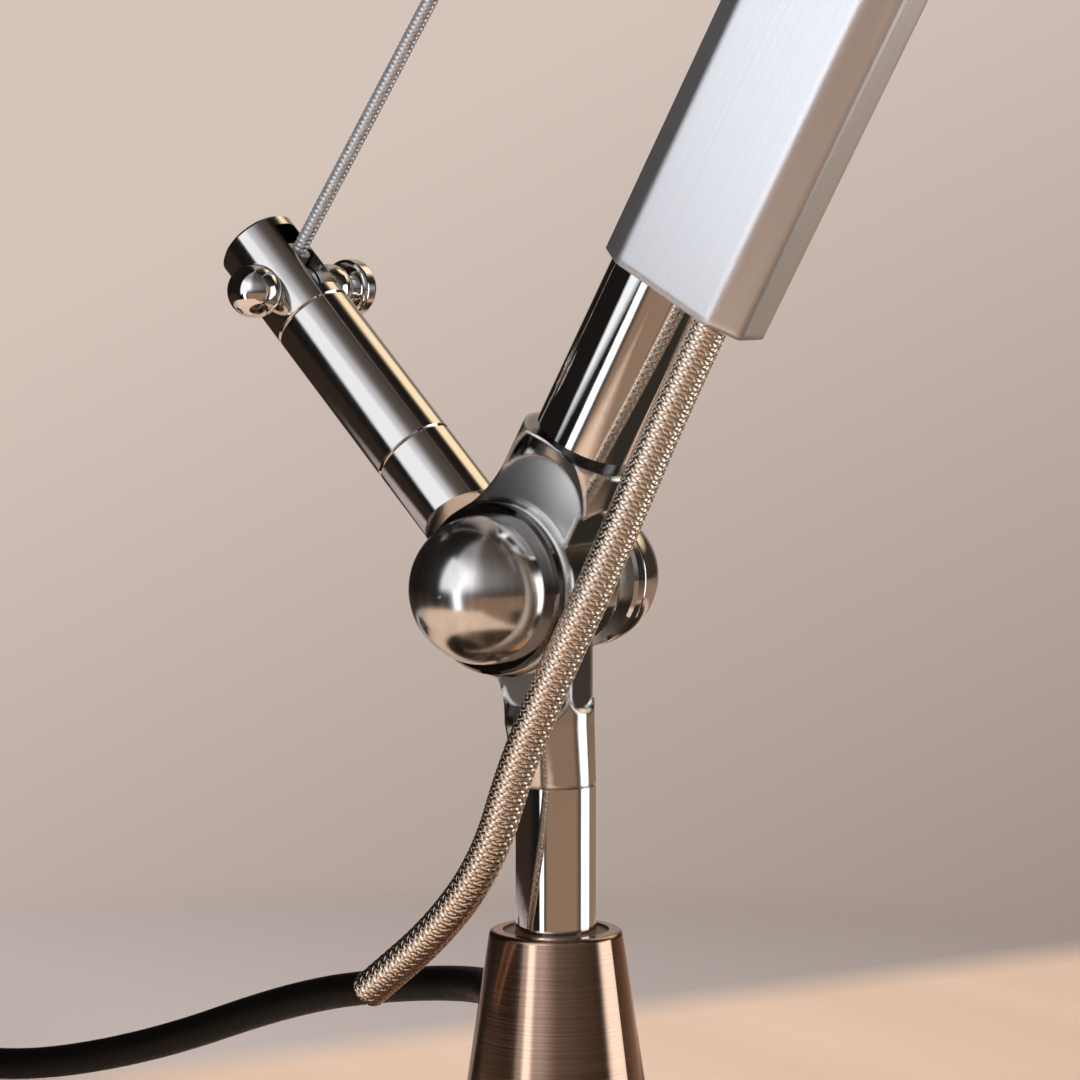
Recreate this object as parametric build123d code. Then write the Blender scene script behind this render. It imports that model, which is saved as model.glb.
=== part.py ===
from build123d import *
import os
from math import cos, pi, radians, sin, sqrt, tan

os.makedirs("parts", exist_ok=True)

# An LED desk lamp. A heavy foot carries a tapered neck, a stem swivels in the neck, and the arm tilts on the stem.
# A lever on the stem, a stay wire and a tail lever on the head make a parallelogram that keeps the head level.
# Millimetres, +Z up. The origin is the centre of the foot's underside, the arm leans towards +X, and every hinge
# of the arm lies along Y. Lengths named s run along the arm or the lever from its hinge, q lies across the arm.

# Sizes of the foot and the neck
BASE_DIAMETER = 185.0
PLATE_THICKNESS = 11.0
PLATE_EDGE_ROUND = 3.0
PAD_THICKNESS = 2.0
PAD_INSET = 3.0
NECK_TOP_HEIGHT = 65.0
NECK_TOP_DIAMETER = 21.4
NECK_HALF_ANGLE = 8.5
NECK_EDGE_ROUND = 0.9
NECK_FLOOR = 12.0
NECK_SCREW_DIAMETER = 4.0
NECK_SCREW_HEAD = 7.5
NECK_SCREW_HEAD_HEIGHT = 2.6
NECK_SCREW_CIRCLE = 12.0
NECK_SCREW_GRIP = 8.0
BUSH_WALL = 2.0
BUSH_LENGTH = 13.0
BUSH_FLOOR = 2.0
BUSH_RECESS = 0.4

# Sizes of the stem and its joint with the arm
JOINT_HEIGHT = 121.5
STEM_DIAMETER = 13.1
STEM_BORE = 9.1
STEM_RING_WIDTH = 1.4
STEM_RING_GROOVE = 0.8
STEM_RING_MOUTH = 5.8
STEM_SLOT_WIDTH = 6.0
STEM_SLOT_HEIGHT = 9.0
CORE_DIAMETER = 1.6
CORE_BORE = 5.0
ARM_OFFSET = 11.0
SHANK_DIAMETER = 14.6
SHANK_FORWARD = 0.7
SHANK_ASIDE = 0.75
SHANK_FOOT = 23.0
SHANK_DROP = 33.0
SHANK_SPIGOT = 14.0
CORE_END = 0.8
FLARE_DIAMETER = 22.4
FLARE_FOOT = 20.8
FLARE_TOP = 13.2
FLARE_CORE_DIAMETER = 10.0
FLARE_CORE_TOP = 3.0
EYE_DIAMETER = 22.0
EYE_THICKNESS = 6.4
SCALLOP_DROP = 20.3
SCALLOP_DEPTH = 0.9
SCALLOP_ROUND = 3.0
SCALLOP_DRAFT = 30.0
AXLE_DIAMETER = 8.0
AXLE_IN_KNOB = 5.0
HUB_DIAMETER = 28.4
TONGUE_THICKNESS = 3.6
HUB_CHAMFER = 0.7
CHEEK_THICKNESS = 2.9
BEZEL_THICKNESS = 2.0
BEZEL_DIAMETER = 27.0
BEZEL_CHAMFER = 0.5
BALL_DIAMETER = 23.6
BALL_LIP = 0.9
WASHER_THICKNESS = 1.5
WASHER_DIAMETER = 21.0
DOME_DIAMETER = 22.8
DOME_FLANGE = 2.6
DOME_CHAMFER = 0.5
DOME_BOSS_DIAMETER = 13.0
DOME_BOSS = 4.1

# Sizes of the lever, its cross pin and the stay wire
LEVER_LEAN = 44.6
LEVER_REACH = 64.5
LEVER_DIAMETER = 13.4
LEVER_SADDLE = 16.0
LEVER_SEAM_LOW = 28.4
LEVER_SEAM_HIGH = 57.8
LEVER_END = 75.4
LEVER_END_CHAMFER = 0.6
LEVER_SEAM_CHAMFER = 0.3
LEVER_SPIGOT_DIAMETER = 8.0
LEVER_SPIGOT_LENGTH = 8.0
TONGUE_WIDTH = 12.0
TONGUE_EYE = 20.0
PIN_DIAMETER = 4.0
PIN_BALL = 8.8
PIN_BALL_OUT = 9.5
NUT_BALL = 8.2
NUT_BALL_OUT = 9.4
NUT_DISC = 9.6
NUT_DISC_THICKNESS = 3.2
NUT_DISC_OUT = 13.4
NUT_NECK = 5.0
WIRE_LEAN = 34.4
WIRE_DIAMETER = 2.5
WIRE_ASIDE = 2.4
ANCHOR_DIAMETER = 8.0
ANCHOR_WIDTH = 4.4
ANCHOR_NECK = 4.0
ANCHOR_REACH = 6.2
CAP_SLOT_LOW = 4.6
CAP_SLOT_HIGH = 8.6

# Sizes of the arm
ARM_LEAN = 29.5
ARM_REACH = 340.0
BAR_DIAMETER = 19.6
BAR_LENGTH = 26.0
FLAT_HALF = 4.0
FLAT_ARCH = 22.8
FLAT_DRAFT = 45.0
SIDE_ARCH_TOP = 18.6
SIDE_ARCH_DEPTH = 2.4
SIDE_ARCH_DRAFT = 35.0
WEB_TOP = 19.0
WEB_REACH = 13.6
WEB_FOOT = 5.0
FORK_MOUTH = 4.0
SEAT_RING_HEIGHT = 1.3
SEAT_RING_INSET = 0.8
TUBE_DIAMETER = 16.0
TUBE_BORE = 7.4
TUBE_SPIGOT = 9.8
KNUCKLE_SPIGOT_LENGTH = 18.0
PROFILE_START = 56.8
PROFILE_SHORT = 34.8
PROFILE_FACE = 18.5
PROFILE_BEVEL_Q = 4.7
PROFILE_BEVEL_Y = 3.2
PROFILE_SIDE = 6.7
PROFILE_BACK_Q = 6.0
PROFILE_BACK_Y = 8.1
PROFILE_FRONT = 8.6
PROFILE_ABOVE = 8.0
PROFILE_WALL = 1.7
PROFILE_EDGE_ROUND = 0.9
INSERT_RECESS = 1.5
INSERT_LENGTH = 15.0
BRAID_DIAMETER = 6.0
BRAID_ACROSS = 12.4
BRAID_FRONT = 2.3
BRAID_STRAIGHT = 12.0
GROMMET_WALL = 0.6
FERRULE_LENGTH = 2.4
FERRULE_ROUND = 1.0

# Sizes of the upper joint and the head
BLOCK_FLANGE = 4.0
BLOCK_PLUG = 18.0
LUG_THICKNESS = 10.0
LUG_WIDTH = 16.0
LUG_EYE = 22.0
LUG_ROOT_INNER = 15.4
LUG_ROOT_OUTER = 22.0
BLOCK_SCREW_DIAMETER = 3.0
BLOCK_SCREW_HEAD = 5.5
BLOCK_SCREW_HEAD_HEIGHT = 1.4
BLOCK_SCREW_SPACING = 12.0
YOKE_CHEEK = 5.7
YOKE_EYE = 24.0
YOKE_BAR = 13.4
YOKE_SLOT = 35.0
YOKE_TAIL = 28.4
YOKE_FLANGE_START = 24.0
YOKE_FLANGE = 4.0
YOKE_PLUG = 22.0
HEAD_LENGTH = 300.0
HEAD_WIDTH = 34.0
HEAD_HEIGHT = 17.0
HEAD_BEVEL = 5.0
HEAD_WALL = 1.8
HEAD_WEB = 1.6
HEAD_EDGE_ROUND = 0.9
HEAD_MOUTH = 26.0
END_CAP_THICKNESS = 3.0
END_CAP_TONGUE = 8.0
BOARD_THICKNESS = 1.6
BOARD_CLEARANCE = 0.4
CHIP_SIDE = 3.0
CHIP_HEIGHT = 0.8
CHIP_COUNT = 20
DIFFUSER_THICKNESS = 1.5
BUTTON_DIAMETER = 11.0
BUTTON_PROUD = 1.6
BUTTON_FLANGE = 14.0
BUTTON_FLANGE_THICKNESS = 1.2
BUTTON_TRAVEL = 1.0
BUTTON_PLACE = 44.0
SWITCH_SIDE = 12.0

# Sizes of the supply lead
LEAD_DIAMETER = 6.4
LEAD_EXIT_HEIGHT = 45.0
LEAD_EXIT_TURN = 138.0
GLAND_ROOT_DIAMETER = 11.0
GLAND_TIP_DIAMETER = 8.0
GLAND_LENGTH = 30.0
GLAND_FLANGE_DIAMETER = 13.0
GLAND_FLANGE_THICKNESS = 2.0
GLAND_FLANGE_SINK = 1.2
GLAND_SHANK = 8.4
COIL_TURNS = 3
COIL_CHANGE = 0.5
COIL_SAMPLES = 900
COIL_OUTER_RADIUS = 45.5
COIL_GAP = 0.6
COIL_TAIL = 20.0
COIL_PLACE_X = -242.0
COIL_PLACE_Y = 23.5
TIE_WIDTH = 5.0
TIE_THICKNESS = 0.6
TIE_GAP = 0.3
PLUG_LENGTH = 26.0
PLUG_TAIL = 16.0
PLUG_TAIL_DIAMETER = 9.0
PLUG_NECK_DIAMETER = 16.0
PLUG_EDGE_ROUND = 1.5
PLUG_PIN_SPACING = 12.7
PLUG_PIN_WIDTH = 6.3
PLUG_PIN_THICKNESS = 1.5
PLUG_PIN_LENGTH = 17.0
PLUG_PIN_SOCKET = 6.0

# Clearances, how far a cut runs past a face, and the share of a cord's run that an arc takes
OVERCUT = 1.0
ARC_SHARE = 0.45
RUN_CLEARANCE = 0.05
BODY_GAP = 0.3
FIT_GAP = 0.1

# Places that follow from the sizes
PLATE_TOP = PAD_THICKNESS + PLATE_THICKNESS
ARM_Y = -ARM_OFFSET
FORK_HALF = TONGUE_THICKNESS / 2 + BODY_GAP + CHEEK_THICKNESS
BALL_CENTRE = FORK_HALF + BODY_GAP + BEZEL_THICKNESS + BALL_LIP
LUG_NEAR = FORK_HALF + BODY_GAP + WASHER_THICKNESS
LUG_FAR = LUG_NEAR + EYE_THICKNESS
TUBE_START = BAR_LENGTH + SEAT_RING_HEIGHT
JOINT = (0, ARM_Y, JOINT_HEIGHT)
HEAD_JOINT = (
    ARM_REACH * sin(radians(WIRE_LEAN)),
    ARM_Y,
    JOINT_HEIGHT + ARM_REACH * cos(radians(WIRE_LEAN)),
)
HINGE_ALONG = ARM_REACH * cos(radians(WIRE_LEAN - ARM_LEAN))
HINGE_ACROSS = ARM_REACH * sin(radians(WIRE_LEAN - ARM_LEAN))
PROFILE_END = HINGE_ALONG - PROFILE_SHORT

LOW = (Align.CENTER, Align.CENTER, Align.MIN)


def leaning(origin, lean):
    """The frame of a rod that leans by a number of degrees from +Z towards +X: z along it, x across it, y along Y."""
    turn = radians(lean)
    return Plane(origin, x_dir=(cos(turn), 0, -sin(turn)), z_dir=(sin(turn), 0, cos(turn)))


ARM = leaning(JOINT, ARM_LEAN)
LEVER = leaning(JOINT, -LEVER_LEAN)
TAIL = leaning(HEAD_JOINT, -LEVER_LEAN)
HEAD = leaning(HEAD_JOINT, 0)
LOW_JOINT = leaning(JOINT, 0)


def rod(diameter, low, high, x=0, y=0):
    """A round rod along z from low to high."""
    return Pos(x, y, low) * Cylinder(diameter / 2, high - low, align=LOW)


def pin(diameter, near, far, x=0, z=0):
    """A round pin along y from near to far."""
    return Pos(x, near, z) * Rot(-90, 0, 0) * Cylinder(diameter / 2, far - near, align=LOW)


def half_ball(diameter):
    """The upper half of a ball, on the plane z = 0."""
    return Sphere(diameter / 2, 0, 90, align=LOW)


def bar(x0, x1, y0, y1, z0, z1):
    """A block between two corners."""
    return Pos((x0 + x1) / 2, (y0 + y1) / 2, (z0 + z1) / 2) * Box(x1 - x0, y1 - y0, z1 - z0)


def side_plate(outline, near, far):
    """A flat outline, drawn as (x, z), made a plate from near to far along y."""
    face = Plane.XZ * outline
    return Pos(0, far, 0) * extrude(face, far - near, dir=(0, -1, 0))


def milled(outline, flat, way, draft):
    """What a tapered cutter takes off beyond a flat across y: an outline drawn as (x, z) that widens outwards."""
    face = Pos(0, flat, 0) * (Plane.XZ * outline)
    return extrude(face, FLARE_DIAMETER, dir=(0, way, 0), taper=-draft)


# The foot
def base_plate():
    """A steel disc with a rounded rim and counterbored holes for the neck's screws."""
    disc = rod(BASE_DIAMETER, PAD_THICKNESS, PLATE_TOP)
    disc = fillet(disc.edges().sort_by(Axis.Z)[-1], PLATE_EDGE_ROUND)
    for place in screw_places():
        disc -= place * rod(NECK_SCREW_DIAMETER, 0, PLATE_TOP + OVERCUT)
        disc -= place * rod(NECK_SCREW_HEAD + 2 * FIT_GAP, 0, PAD_THICKNESS + NECK_SCREW_HEAD_HEIGHT)
    return disc


def screw_places():
    """The three places of the screws that hold the neck on the plate."""
    return PolarLocations(NECK_SCREW_CIRCLE, 3)


def neck_radius(height):
    """The neck's outer radius at a height."""
    return NECK_TOP_DIAMETER / 2 + (NECK_TOP_HEIGHT - height) * tan(radians(NECK_HALF_ANGLE))


def neck_cone():
    """The tapered neck, bored for the two bushes and drilled for the strain relief and the screws."""
    height = NECK_TOP_HEIGHT - PLATE_TOP
    body = Pos(0, 0, PLATE_TOP) * Cone(neck_radius(PLATE_TOP), NECK_TOP_DIAMETER / 2, height, align=LOW)
    body = fillet(body.edges().sort_by(Axis.Z)[-1], NECK_EDGE_ROUND)
    body -= rod(BUSH_OUTER, PLATE_TOP + NECK_FLOOR, NECK_TOP_HEIGHT + OVERCUT)
    body -= GLAND_FRAME * rod(GLAND_SHANK, 0, neck_radius(PLATE_TOP))
    for place in screw_places():
        body -= place * rod(NECK_SCREW_DIAMETER, PLATE_TOP, PLATE_TOP + NECK_SCREW_GRIP)
    seat = neck_radius(LEAD_EXIT_HEIGHT) - GLAND_FLANGE_SINK
    return body - GLAND_FRAME * rod(GLAND_FLANGE_DIAMETER, seat, neck_radius(PLATE_TOP) * 2)


def neck_screws():
    """Three countersunk-in-the-plate screws, as separate solids."""
    head_low = PAD_THICKNESS
    head_high = PAD_THICKNESS + NECK_SCREW_HEAD_HEIGHT
    screw = rod(NECK_SCREW_HEAD, head_low, head_high)
    screw += rod(NECK_SCREW_DIAMETER, head_high, PLATE_TOP + NECK_SCREW_GRIP)
    return Compound([place * screw for place in screw_places()])


BUSH_OUTER = STEM_DIAMETER + 2 * RUN_CLEARANCE + 2 * BUSH_WALL
STEM_FOOT = PLATE_TOP + NECK_FLOOR + BUSH_FLOOR
GLAND_FRAME = Plane(
    (0, 0, LEAD_EXIT_HEIGHT),
    x_dir=(0, 0, 1),
    z_dir=(cos(radians(LEAD_EXIT_TURN)), sin(radians(LEAD_EXIT_TURN)), 0),
)


def upper_bush():
    """The sleeve that shows as a dark ring round the stem."""
    top = NECK_TOP_HEIGHT - BUSH_RECESS
    sleeve = rod(BUSH_OUTER, top - BUSH_LENGTH, top)
    return sleeve - rod(STEM_DIAMETER + 2 * RUN_CLEARANCE, top - BUSH_LENGTH, top)


def lower_cup():
    """A cup on the floor of the neck's bore. The stem stands in it and turns on its floor."""
    foot = PLATE_TOP + NECK_FLOOR
    cup = rod(BUSH_OUTER, foot, foot + BUSH_LENGTH)
    return cup - rod(STEM_DIAMETER + 2 * RUN_CLEARANCE, STEM_FOOT, foot + BUSH_LENGTH)


# The stem and the lower joint
RING_TOP = NECK_TOP_HEIGHT - BUSH_RECESS - BUSH_LENGTH - BODY_GAP


CORE_TOP = JOINT_HEIGHT - SHANK_DROP + CORE_END


def stem():
    """A chrome tube with a groove for its snap ring and a slot where the cores enter."""
    top = JOINT_HEIGHT - SHANK_DROP
    tube = rod(STEM_DIAMETER, STEM_FOOT, top) - rod(STEM_BORE, STEM_FOOT, top)
    groove = rod(STEM_DIAMETER + OVERCUT, RING_TOP - STEM_RING_WIDTH, RING_TOP)
    tube -= groove - rod(STEM_DIAMETER - 2 * STEM_RING_GROOVE, RING_TOP - STEM_RING_WIDTH, RING_TOP)
    slot = bar(0, STEM_DIAMETER, -STEM_SLOT_WIDTH / 2, STEM_SLOT_WIDTH / 2, 0, STEM_SLOT_HEIGHT)
    turn = Rot(0, 0, LEAD_EXIT_TURN)
    return tube - Pos(0, 0, LEAD_EXIT_HEIGHT - STEM_SLOT_HEIGHT / 2) * turn * slot


def stem_ring():
    """A snap ring in the stem's groove, open at one side, which keeps the stem in the neck."""
    inner = STEM_DIAMETER - 2 * STEM_RING_GROOVE
    outer = BUSH_OUTER - 2 * BODY_GAP
    ring = rod(outer, RING_TOP - STEM_RING_WIDTH, RING_TOP) - rod(inner, RING_TOP - STEM_RING_WIDTH, RING_TOP)
    half = STEM_RING_MOUTH / 2
    return ring - bar(0, outer, -half, half, RING_TOP - 2 * STEM_RING_WIDTH, RING_TOP + OVERCUT)


def core_wires():
    """The two cores of the supply lead, from the slot in the stem up into the knuckle."""
    low = LEAD_EXIT_HEIGHT - STEM_SLOT_HEIGHT / 2
    aside = CORE_BORE / 2 - CORE_DIAMETER / 2 - FIT_GAP
    return Compound([rod(CORE_DIAMETER, low, CORE_TOP, 0, side * aside) for side in (-1, 1)])


def scallop(width):
    """A milled flat's outline on the shank: a foot of a given width with round corners, and wider from there up."""
    shoulder = SCALLOP_ROUND - SCALLOP_DROP
    aside = width / 2 - SCALLOP_ROUND
    outline = Pos(0, (HUB_DIAMETER + shoulder) / 2) * Rectangle(2 * FLARE_DIAMETER, HUB_DIAMETER - shoulder)
    outline += Pos(0, shoulder - SCALLOP_ROUND / 2) * Rectangle(2 * aside, SCALLOP_ROUND)
    for side in (-1, 1):
        outline += Pos(side * aside, shoulder) * Circle(SCALLOP_ROUND)
    return outline


def flared_shank():
    """The round shank below the eye. Its left half flares, and narrows again inside the eye."""
    radius = SHANK_DIAMETER / 2
    foot = Polyline((0, -SHANK_FOOT), (radius, -SHANK_FOOT), (radius, -FLARE_FOOT))
    flare = TangentArc((radius, -FLARE_FOOT), (FLARE_DIAMETER / 2, -FLARE_TOP), tangent=(0, 1))
    core = Polyline(
        (FLARE_DIAMETER / 2, -FLARE_TOP),
        (FLARE_CORE_DIAMETER / 2, -FLARE_CORE_TOP),
        (0, -FLARE_CORE_TOP),
        (0, -SHANK_FOOT),
    )
    flared = revolve(Plane.XZ * make_face([foot, flare, core]), Axis.Z)
    flared -= bar(0, FLARE_DIAMETER, -FLARE_DIAMETER, FLARE_DIAMETER, -SHANK_FOOT - OVERCUT, 0)
    return flared + rod(SHANK_DIAMETER, -SHANK_FOOT, -FLARE_CORE_TOP)


def lower_knuckle():
    """The stem's head: a flared shank milled flat in front, behind and on the right, and an eye for the axle.
    The shank stands a little to the front left of the stem, and runs down into the stem's own round."""
    shank_y = ARM_OFFSET - SHANK_FORWARD
    radius = SHANK_DIAMETER / 2
    body = flared_shank()
    front = scallop(2 * sqrt(radius**2 - (shank_y - LUG_NEAR) ** 2))
    body -= milled(front, LUG_NEAR - shank_y, -1, SCALLOP_DRAFT)
    back = scallop(2 * sqrt(radius**2 - (LUG_FAR - shank_y) ** 2))
    body -= milled(back, LUG_FAR - shank_y, 1, SCALLOP_DRAFT)
    flat = radius - SCALLOP_DEPTH
    side = scallop(2 * sqrt(radius**2 - flat**2))
    body -= Rot(0, 0, -90) * milled(side, flat, 1, SCALLOP_DRAFT)
    body = Pos(-SHANK_ASIDE, shank_y, 0) * body
    shank_end = Pos(-SHANK_ASIDE, shank_y, -SHANK_FOOT) * Circle(radius)
    stem_end = Pos(0, ARM_OFFSET, -SHANK_DROP) * Circle(STEM_DIAMETER / 2)
    body += loft([stem_end, shank_end])
    body += pin(EYE_DIAMETER, LUG_NEAR, LUG_FAR)
    body += rod(STEM_BORE, -SHANK_DROP - SHANK_SPIGOT, -SHANK_DROP, 0, ARM_OFFSET)
    body -= rod(CORE_BORE, -SHANK_DROP - SHANK_SPIGOT, CORE_TOP - JOINT_HEIGHT + CORE_END, 0, ARM_OFFSET)
    return LOW_JOINT * (body - pin(AXLE_DIAMETER, LUG_NEAR, LUG_FAR))


def axle(near, far):
    """A hinge axle between two distances along y."""
    return pin(AXLE_DIAMETER, near, far)


def ball_knob(face):
    """A ball knob whose lip ends at a distance to the left of the hinge's middle, with a blind hole for the axle."""
    centre = face + BALL_LIP
    ball = Pos(0, -centre, 0) * Rot(90, 0, 0) * half_ball(BALL_DIAMETER)
    ball += pin(BALL_DIAMETER, -centre, -face)
    return ball - pin(AXLE_DIAMETER + 2 * RUN_CLEARANCE, -centre - AXLE_IN_KNOB - BODY_GAP, -face)


def bezel(face):
    """The washer behind a ball knob, up against the axle, with its rims taken off."""
    disc = pin(BEZEL_DIAMETER, -face - BEZEL_THICKNESS, -face)
    disc = chamfer(disc.edges().filter_by(GeomType.CIRCLE), BEZEL_CHAMFER)
    return disc - pin(AXLE_DIAMETER, -face - BEZEL_THICKNESS, -face)


def dome_nut(face):
    """A flanged dome nut on the right of a hinge, whose boss seats at a distance from the hinge's middle."""
    flange = face + DOME_BOSS
    centre = flange + DOME_FLANGE
    dome = Pos(0, centre, 0) * Rot(-90, 0, 0) * half_ball(DOME_DIAMETER)
    disc = pin(DOME_DIAMETER, flange, centre)
    dome += chamfer(disc.edges().filter_by(GeomType.CIRCLE), DOME_CHAMFER)
    dome += pin(DOME_BOSS_DIAMETER, face, flange)
    return dome - pin(AXLE_DIAMETER, face, axle_end(face))


def axle_end(face):
    """Where the axle ends inside a dome nut that seats at a distance from the hinge's middle."""
    return face + DOME_BOSS + DOME_FLANGE + AXLE_IN_KNOB


def washer(near):
    """A friction washer on the axle."""
    far = near + WASHER_THICKNESS
    return pin(WASHER_DIAMETER, near, far) - pin(AXLE_DIAMETER, near, far)


# The lever, used at the lower joint and, as the tail lever, on the head
def lever_root():
    """A tongue on the axle, between the cheeks of the arm's fork, and a round shoulder with a saddle for the hub."""
    half = TONGUE_THICKNESS / 2
    shoulder = rod(LEVER_DIAMETER, 0, LEVER_SEAM_LOW)
    body = chamfer(shoulder.edges().sort_by(Axis.Z)[-1], LEVER_SEAM_CHAMFER)
    body -= pin(2 * LEVER_SADDLE, -LEVER_DIAMETER, LEVER_DIAMETER)
    body += pin(TONGUE_EYE, -half, half)
    body += bar(-TONGUE_WIDTH / 2, TONGUE_WIDTH / 2, -half, half, 0, LEVER_SADDLE)
    body += rod(LEVER_SPIGOT_DIAMETER, LEVER_SEAM_LOW, LEVER_SEAM_LOW + LEVER_SPIGOT_LENGTH)
    return body - pin(AXLE_DIAMETER, -half, half)


def lever_rod(foot_spigot):
    """The lever's middle length, with a socket at its foot, or with a spigot where it stands in the yoke."""
    body = rod(LEVER_DIAMETER, LEVER_SEAM_LOW, LEVER_SEAM_HIGH)
    ends = body.edges().filter_by(GeomType.CIRCLE)
    body = chamfer(ends, LEVER_SEAM_CHAMFER)
    body -= rod(LEVER_SPIGOT_DIAMETER, LEVER_SEAM_HIGH - LEVER_SPIGOT_LENGTH, LEVER_SEAM_HIGH)
    if foot_spigot:
        return body + rod(LEVER_SPIGOT_DIAMETER, LEVER_SEAM_LOW - LEVER_SPIGOT_LENGTH, LEVER_SEAM_LOW)
    return body - rod(LEVER_SPIGOT_DIAMETER, LEVER_SEAM_LOW, LEVER_SEAM_LOW + LEVER_SPIGOT_LENGTH)


def lever_cap(side):
    """The end cap, slotted on one side for the wire's anchor and scooped for the cross pin's ball and nut."""
    body = rod(LEVER_DIAMETER, LEVER_SEAM_HIGH, LEVER_END)
    rims = body.edges().filter_by(GeomType.CIRCLE).sort_by(Axis.Z)
    body = chamfer(rims[-1], LEVER_END_CHAMFER)
    body = chamfer(body.edges().filter_by(GeomType.CIRCLE).sort_by(Axis.Z)[0], LEVER_SEAM_CHAMFER)
    body += rod(LEVER_SPIGOT_DIAMETER, LEVER_SEAM_HIGH - LEVER_SPIGOT_LENGTH, LEVER_SEAM_HIGH)
    half = ANCHOR_WIDTH / 2 + BODY_GAP
    back = ANCHOR_DIAMETER / 2 + BODY_GAP
    slot = bar(-back, LEVER_DIAMETER, -half, half, LEVER_REACH - CAP_SLOT_LOW, LEVER_REACH + CAP_SLOT_HIGH)
    body -= Rot(0, 0, 90 - 90 * side) * slot
    body -= Pos(0, -PIN_BALL_OUT, LEVER_REACH) * Sphere(PIN_BALL / 2 + FIT_GAP)
    body -= Pos(0, NUT_BALL_OUT, LEVER_REACH) * Sphere(NUT_BALL / 2 + FIT_GAP)
    return body - pin(PIN_DIAMETER, -LEVER_DIAMETER, LEVER_DIAMETER, 0, LEVER_REACH)


def cross_pin():
    """The pin that holds the wire's anchor, with a ball for a head."""
    body = pin(PIN_DIAMETER, -PIN_BALL_OUT, NUT_DISC_OUT, 0, LEVER_REACH)
    return body + Pos(0, -PIN_BALL_OUT, LEVER_REACH) * Sphere(PIN_BALL / 2)


def pin_nut():
    """The thumb nut on the pin's other end: a ball, a neck and a disc."""
    body = Pos(0, NUT_BALL_OUT, LEVER_REACH) * Sphere(NUT_BALL / 2)
    body += pin(NUT_NECK, NUT_BALL_OUT, NUT_DISC_OUT, 0, LEVER_REACH)
    disc = pin(NUT_DISC, NUT_DISC_OUT, NUT_DISC_OUT + NUT_DISC_THICKNESS, 0, LEVER_REACH)
    body += fillet(disc.edges().filter_by(GeomType.CIRCLE), NUT_DISC_THICKNESS / 4)
    return body - pin(PIN_DIAMETER, 0, NUT_DISC_OUT, 0, LEVER_REACH)


# The stay wire, in a frame whose origin is the cross pin and whose z runs along the wire
def wire_anchor(aside):
    """An eye on the cross pin, with a short neck beside the pin that grips the wire's end."""
    half = ANCHOR_WIDTH / 2
    body = pin(ANCHOR_DIAMETER, -half, half) + rod(ANCHOR_NECK, 0, ANCHOR_REACH, aside)
    body -= pin(PIN_DIAMETER + 2 * RUN_CLEARANCE, -half, half)
    return body - rod(WIRE_DIAMETER, ANCHOR_DIAMETER / 2, ANCHOR_REACH, aside)


def stay_wire():
    """The wire between the two anchors. Its fine winding is left to its finish."""
    return rod(WIRE_DIAMETER, ANCHOR_DIAMETER / 2, ARM_REACH - ANCHOR_DIAMETER / 2, -WIRE_ASIDE)


# The arm
def arch(width, top):
    """A tombstone's outline that stands on z = 0: straight sides and a half-round top."""
    radius = width / 2
    outline = Pos(0, top - radius) * Circle(radius)
    return outline + Pos(0, (top - radius) / 2) * Rectangle(width, top - radius)


def knuckle_web():
    """The outline that widens from the bar's flats to the hub: a plate hollowed by a large round on each side."""
    narrow = sqrt((BAR_DIAMETER / 2) ** 2 - FLAT_HALF**2)
    step = WEB_REACH - narrow
    hollow = (step**2 + (WEB_TOP - WEB_FOOT) ** 2) / (2 * step)
    outline = Pos(0, (WEB_TOP + WEB_FOOT) / 2) * Rectangle(2 * WEB_REACH, WEB_TOP - WEB_FOOT)
    for side in (-1, 1):
        outline -= Pos(side * (narrow + hollow), WEB_TOP) * Circle(hollow)
    return outline


def fork_slot():
    """The room for the lever's tongue between the cheeks: round the tongue's eye, and open to the left."""
    half = TONGUE_THICKNESS / 2 + BODY_GAP
    swept = pin(2 * LEVER_SADDLE, -half, half)
    swept -= bar(-FORK_MOUTH, LEVER_SADDLE, -BAR_DIAMETER, BAR_DIAMETER, -BAR_LENGTH, BAR_LENGTH)
    return swept + pin(TONGUE_EYE + 2 * BODY_GAP, -half, half)


def upper_knuckle():
    """The arm's foot: a round bar milled to a fork, with arched flats, an arch on its right and a hub round the axle."""
    radius = BAR_DIAMETER / 2
    body = rod(BAR_DIAMETER, 0, BAR_LENGTH)
    front = arch(2 * sqrt(radius**2 - FLAT_HALF**2), FLAT_ARCH)
    for way in (-1, 1):
        body -= milled(front, way * FLAT_HALF, way, FLAT_DRAFT)
    body += side_plate(knuckle_web(), -FLAT_HALF, FLAT_HALF)
    flat = radius - SIDE_ARCH_DEPTH
    side = arch(2 * sqrt(radius**2 - flat**2), SIDE_ARCH_TOP)
    body -= Rot(0, 0, -90) * milled(side, flat, 1, SIDE_ARCH_DRAFT)
    hub = pin(HUB_DIAMETER, -FORK_HALF, FORK_HALF)
    body += chamfer(hub.edges().filter_by(GeomType.CIRCLE), HUB_CHAMFER)
    body -= fork_slot()
    body -= pin(AXLE_DIAMETER + 2 * RUN_CLEARANCE, -FORK_HALF, FORK_HALF)
    return body + rod(TUBE_BORE, BAR_LENGTH, BAR_LENGTH + KNUCKLE_SPIGOT_LENGTH)


def seat_ring():
    """The black ring between the knuckle and the tube."""
    ring = rod(TUBE_DIAMETER - 2 * SEAT_RING_INSET, BAR_LENGTH, TUBE_START)
    return ring - rod(TUBE_BORE, BAR_LENGTH, TUBE_START)


def arm_tube():
    """The chrome tube, turned down where it stands in the profile's insert."""
    top = PROFILE_START + INSERT_RECESS + INSERT_LENGTH
    body = rod(TUBE_DIAMETER, TUBE_START, PROFILE_START)
    body += rod(TUBE_SPIGOT, PROFILE_START, top)
    return body - rod(TUBE_BORE, TUBE_START, top)


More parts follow.
